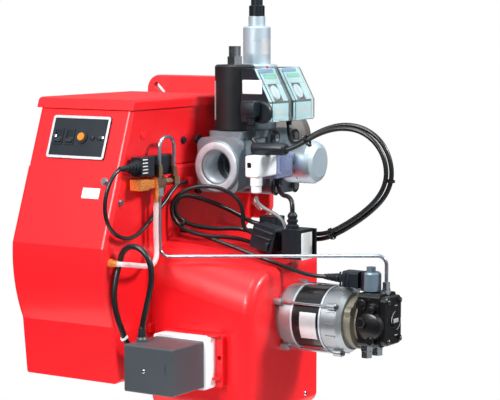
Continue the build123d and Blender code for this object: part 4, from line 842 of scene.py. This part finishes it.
class BURNER_OT_case_fittings(Operator):
    """Panel rim, screws, pads and marks on the casing, the servo and the fan housing"""

    bl_idname = "burner.case_fittings"
    bl_label = "Casing fittings"

    def execute(self, context):
        self.panel()
        plate_piece("casing_plate", (48, -429.3, -52), REAR_NORMAL, 36, 18, 1.0, "label_white",
                    up=REAR_UP)
        plate_piece("hood_pad", (98, -350, 41), OUT, 13, 11, 2.0, "red_hood", 2)
        plate_piece("casing_lug", (100, -336, -286), OUT, 16, 15, 6.0, "red_casting", 4)
        # These zinc screws get the default dark crosses: painted shade in their recesses.
        screw_pieces("servo_cover_screw", [(178, -463, -332)], REAR, 3.4, 1.8, "zinc")
        plate_piece("servo_mark", (221, -463, -325), REAR, 0.9, 15, 0.3, "gloss_black", 0.4)
        wrap_piece("corner_pad", HOUSING_CORNER, TOP, HOUSING_CORNER_RADIUS + 0.02, -281, -251, -84, -26,
                   "red_casting", FORWARD, 0.3)
        screw_pieces("housing_screw", [(299, -155, -410)], OUT, 4.2, 2.4, "zinc")
        build_piece("servo_bracket_ribs", "red_hood", add_slab,
                    *((seat((240, -345, z), REAR), 22, 4, 0, 10, 1.5, 0.5) for z in (-356, -284)))
        return {"FINISHED"}

    def panel(self):
        panel = seat(PANEL_CENTRE, REAR_NORMAL, REAR_UP)
        build_piece("panel_rim", "label_silver", add_frame, (panel, 121.5, 74.5, 4.5, 2.8, 3.5, 5))
        build_piece("panel_screws", "zinc", add_turned,
                    *((panel, [(2.8, 3.6), (4.0, 3.6), (4.8, 2.4)], 24, x, 0) for x in (-50, 50)))
        # Dark bars on the zinc screw heads: painted shade of their slots.
        build_piece("panel_screw_slots", "gloss_black", add_slab,
                    *((panel, 4.6, 0.8, 4.4, 4.9, 0.3, 0.05, x, 0) for x in (-50, 50)))


class BURNER_OT_motor_fittings(Operator):
    """Label and seams of the motor, with the pump's screws, marks and ports"""

    bl_idname = "burner.motor_fittings"
    bl_label = "Motor and pump fittings"

    def execute(self, context):
        wrap_piece("motor_label", MOTOR_AXLE, OUT, 54, 348, 379, 163, 212, "label_silver")
        build_piece("motor_seams", "bright_aluminium", add_wrap,
                    *((seat(MOTOR_AXLE, OUT), 54.4, x, x + 3, 0, 360, 1.2, 72) for x in (330.5, 384.5)))
        screw_pieces("pump_cover_screws",
                     [(PUMP_FACE - 3.1, y, z) for y in (-222, -184) for z in (-289, -224)],
                     OUT, 4.2, 3.1, "gloss_black", "zinc")
        self.pump_marks()
        self.pump_ports()
        return {"FINISHED"}

    def pump_marks(self):
        """Two bare arcs round a bare plate, with a bar above and below."""
        cover = seat((PUMP_FACE - 0.1, -203, -256), OUT)
        mesh = bmesh.new()
        for start in (100, 280):
            add_wrap(mesh, cover, 15, 0, 0.4, start, start + 90, 1.0)
        add_slab(mesh, cover, 16, 7, 0, 0.4, 1, 0.1)
        for y in (-24, 25):
            add_slab(mesh, cover, 9, 1.2, 0, 0.4, 0.4, 0.1, 0, y)
        add_piece("pump_cover_marks", mesh, "label_silver")

    def pump_ports(self):
        plugs = [(seat((x, -238.5, z), REAR), [(0, r), (4, r), (5, r - 1), (5, r * 0.55), (6.5, r * 0.5)])
                 for x, z, r in ((456, -229, 9), (474, -236, 6), (473, -288, 7))]
        hexagon = (seat((458, -238.5, -258), REAR), [(0, 11), (3, 11), (3.4, 9), (9, 9), (10, 8)], 6)
        dome = (seat((470, -225, -264), REAR), [(0, 25), (15, 22), (17, 19)])
        build_piece("pump_ports", "pump_black", add_turned, *plugs, hexagon, dome)


class BURNER_OT_oil_fittings(Operator):
    """Oil pipe, compression nuts and plug comb of the oil line, with the cable ties"""

    bl_idname = "burner.oil_fittings"
    bl_label = "Oil line fittings"

    def execute(self, context):
        pipe = build_piece("oil_pipe", "drawn_steel", add_tube, (OIL_RUN, 15, OIL_PIPE_RADIUS),
                           (OIL_LOOP, 17, OIL_PIPE_RADIUS))
        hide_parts("oil_line")
        bore, nuts = OIL_PIPE_RADIUS + 0.15, []
        for y, low, high in ((-334, -27, -8), (-292, -30, -13)):
            place = seat((120, y, 0), TOP, FORWARD)
            for base, tip, r, sides in ((low, high - 6, 6.4, 6), (high - 6, high, 5.2, 28)):
                nuts.append((place, [(base, bore), (base, r), (tip, r), (tip, bore)], sides))
        build_piece("oil_nuts", "bronze_nut", add_lathe, *nuts)
        build_piece("oil_plug_comb", "label_white", add_slab,
                    *((seat((125.2, -382, -18 + 5.5 * step), OUT), 14, 1.6, 0, 0.9, 0.6, 0.2)
                      for step in range(5)))
        self.ties(context.scene.burner_sizes.tie_width / MM)
        return {"FINISHED"}

    def ties(self, width):
        places = (("loop_tie_1", (311, -174, 30), (1, 0.1, 0.5), 9.6, "gloss_black"),
                  ("loop_tie_2", (463, -158, -30), (-0.1, 0, -1), 9.2, "gloss_black"),
                  ("loop_tie_3", (358, -163, -127), (-1, 0.1, -0.4), 9.2, "gloss_black"),
                  ("ring_tie", (121, -270, -114), (1, 0.5, -0.5), 10.5, "gloss_black"),
                  ("servo_tie", (117, -434, -286), (0.4, 0.5, -1), 6.4, "label_white"))
        for name, origin, ahead, radius, finish in places:
            mesh = bmesh.new()
            place = seat(origin, ahead, (0.3, 0.9, 0.2))
            add_lathe(mesh, place, [(0, radius - 1.2), (0, radius), (width, radius), (width, radius - 1.2)])
            add_slab(mesh, place, 4.5, 5, 0.2, width + 1.2, 0.8, 0.3, radius, 0)
            add_piece(name, mesh, finish)


# ---- the stage
# Lamp: place and size in metres, power in watts.
LAMPS = (("key_lamp", (3.0, 0.7, 2.0), (0.6, 0.6), 140),
         ("front_lamp", (-0.1, -3.3, 1.7), (1.6, 1.2), 145),
         ("top_lamp", (0.2, -1.2, 3.1), (1.4, 1.4), 60))
LAMP_AIM = (0.0, -0.2, -0.05)
CAMERA_AIM = (67.39, 30.31, -102.54)    # in millimetres
FLOOR_CENTRE = (0.12, -0.16)
FLOOR_SIDES = 96
ROOM_LIGHT = 0.24


def add_lamp(name, place, size, power):
    data = bpy.data.lights.new(name, "AREA")
    data.shape = "RECTANGLE"
    data.size, data.size_y = size
    data.energy = power
    lamp = bpy.data.objects.new(name, data)
    bpy.context.scene.collection.objects.link(lamp)
    lamp.location = place
    lamp.rotation_euler = (Vector(LAMP_AIM) - Vector(place)).to_track_quat("-Z", "Y").to_euler()


def end_in_white(tree, kind, shader_output, white, straight, mirrored):
    """Ends a tree: white to camera and clear-cover rays, a share of it to mirror rays, else the shader."""
    path = tree.nodes.new("ShaderNodeLightPath")
    seen = arithmetic(tree, "MAXIMUM", path.outputs["Is Camera Ray"], path.outputs["Is Transmission Ray"])
    seen = arithmetic(tree, "MULTIPLY", seen, straight)
    mirror = arithmetic(tree, "MULTIPLY", path.outputs["Is Glossy Ray"], mirrored)
    factor = arithmetic(tree, "MAXIMUM", seen, mirror)
    glow = add_node(tree, white, {"Color": (1, 1, 1, 1)})
    mix = add_node(tree, "ShaderNodeMixShader", {0: factor, 1: shader_output, 2: glow.outputs[0]})
    add_node(tree, kind, {0: mix.outputs[0]})


class BURNER_OT_stage(Operator):
    """Pale floor, soft lamps and the camera"""

    bl_idname = "burner.stage"
    bl_label = "Stage"

    def execute(self, context):
        scene = context.scene
        stage = scene.burner_stage
        self.lay_floor(stage)
        self.light_world(scene)
        for lamp in LAMPS:
            add_lamp(*lamp)
        self.place_camera(scene, stage)
        scene.view_settings.view_transform = "Standard"
        return {"FINISHED"}

    def lay_floor(self, stage):
        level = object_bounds()[0].z - stage.floor_drop
        data = bpy.data.meshes.new("floor")
        rim = circle(stage.floor_radius, level, FLOOR_SIDES, *FLOOR_CENTRE)
        data.from_pydata(rim, [], [tuple(range(FLOOR_SIDES))])
        floor = bpy.data.objects.new("floor", data)
        bpy.context.scene.collection.objects.link(floor)
        data.materials.append(self.floor_material())
        floor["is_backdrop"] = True

    def floor_material(self):
        material = bpy.data.materials.new("floor_white")
        material.use_nodes = True
        tree = material.node_tree
        tree.nodes.clear()
        matt = add_node(tree, "ShaderNodeBsdfDiffuse", {"Color": (0.93, 0.93, 0.93, 1)})
        end_in_white(tree, "ShaderNodeOutputMaterial", matt.outputs[0], "ShaderNodeEmission", 0.92, 0.15)
        return material

    def room_strength(self, tree, plain):
        """Even light for matt surfaces; mirrors see a room that is bright above and at its right."""
        where = tree.nodes.new("ShaderNodeTexCoord").outputs["Generated"]
        split = add_node(tree, "ShaderNodeSeparateXYZ", {0: where})
        above = arithmetic(tree, "MAXIMUM", split.outputs["Z"], 0.0)
        beside = arithmetic(tree, "MAXIMUM", split.outputs["X"], 0.0)
        room = arithmetic(tree, "MULTIPLY_ADD", above, 0.9, 0.05)
        room = arithmetic(tree, "MULTIPLY_ADD", arithmetic(tree, "MULTIPLY", beside, beside), 0.4, room)
        mirror = tree.nodes.new("ShaderNodeLightPath").outputs["Is Glossy Ray"]
        return arithmetic(tree, "MULTIPLY_ADD", mirror, arithmetic(tree, "SUBTRACT", room, plain), plain)

    def light_world(self, scene):
        world = bpy.data.worlds.new("studio")
        scene.world = world
        world.use_nodes = True
        tree = world.node_tree
        tree.nodes.clear()
        strength = self.room_strength(tree, ROOM_LIGHT)
        ambient = add_node(tree, "ShaderNodeBackground",
                           {"Color": (0.95, 0.97, 1.0, 1), "Strength": strength})
        end_in_white(tree, "ShaderNodeOutputWorld", ambient.outputs[0], "ShaderNodeBackground", 1.0, 0.0)

    def place_camera(self, scene, stage):
        data = bpy.data.cameras.new("camera")
        data.lens = stage.lens
        data.sensor_width = 36
        data.clip_start, data.clip_end = 0.05, 60
        camera = bpy.data.objects.new("camera", data)
        scene.collection.objects.link(camera)
        turn, tilt = stage.azimuth, stage.elevation
        facing = Vector((-math.sin(turn) * math.cos(tilt), math.cos(turn) * math.cos(tilt),
                         -math.sin(tilt)))
        camera.location = Vector(CAMERA_AIM) * MM - facing * stage.distance
        camera.rotation_euler = (math.pi / 2 - tilt, 0, turn)
        scene.camera = camera


# ---- add-on
class BURNER_PT_panel(Panel):
    """Lists the pieces of the burner's dress"""

    bl_idname = "BURNER_PT_panel"
    bl_label = "Dual-fuel burner"
    bl_space_type = "VIEW_3D"
    bl_region_type = "UI"
    bl_category = "Burner"

    def draw(self, context):
        for settings in (context.scene.burner_colours, context.scene.burner_sizes,
                         context.scene.burner_stage):
            box = self.layout.box()
            for name in settings.__annotations__:
                box.prop(settings, name)
        for operator in OPERATORS:
            self.layout.operator(operator.bl_idname)


OPERATORS = (BURNER_OT_cables, BURNER_OT_paintwork, BURNER_OT_metalwork, BURNER_OT_mouldings,
             BURNER_OT_gas_fittings, BURNER_OT_case_fittings, BURNER_OT_motor_fittings,
             BURNER_OT_oil_fittings, BURNER_OT_stage)
CLASSES = (BurnerColours, BurnerSizes, BurnerStage) + OPERATORS + (BURNER_PT_panel,)


def register():
    for entry in CLASSES:
        bpy.utils.register_class(entry)
    bpy.types.Scene.burner_colours = PointerProperty(type=BurnerColours)
    bpy.types.Scene.burner_sizes = PointerProperty(type=BurnerSizes)
    bpy.types.Scene.burner_stage = PointerProperty(type=BurnerStage)


def unregister():
    del bpy.types.Scene.burner_stage
    del bpy.types.Scene.burner_sizes
    del bpy.types.Scene.burner_colours
    for entry in reversed(CLASSES):
        bpy.utils.unregister_class(entry)


def main():
    register()
    for operator in OPERATORS:
        area, name = operator.bl_idname.split(".")
        getattr(getattr(bpy.ops, area), name)()


if __name__ == "__main__":
    main()
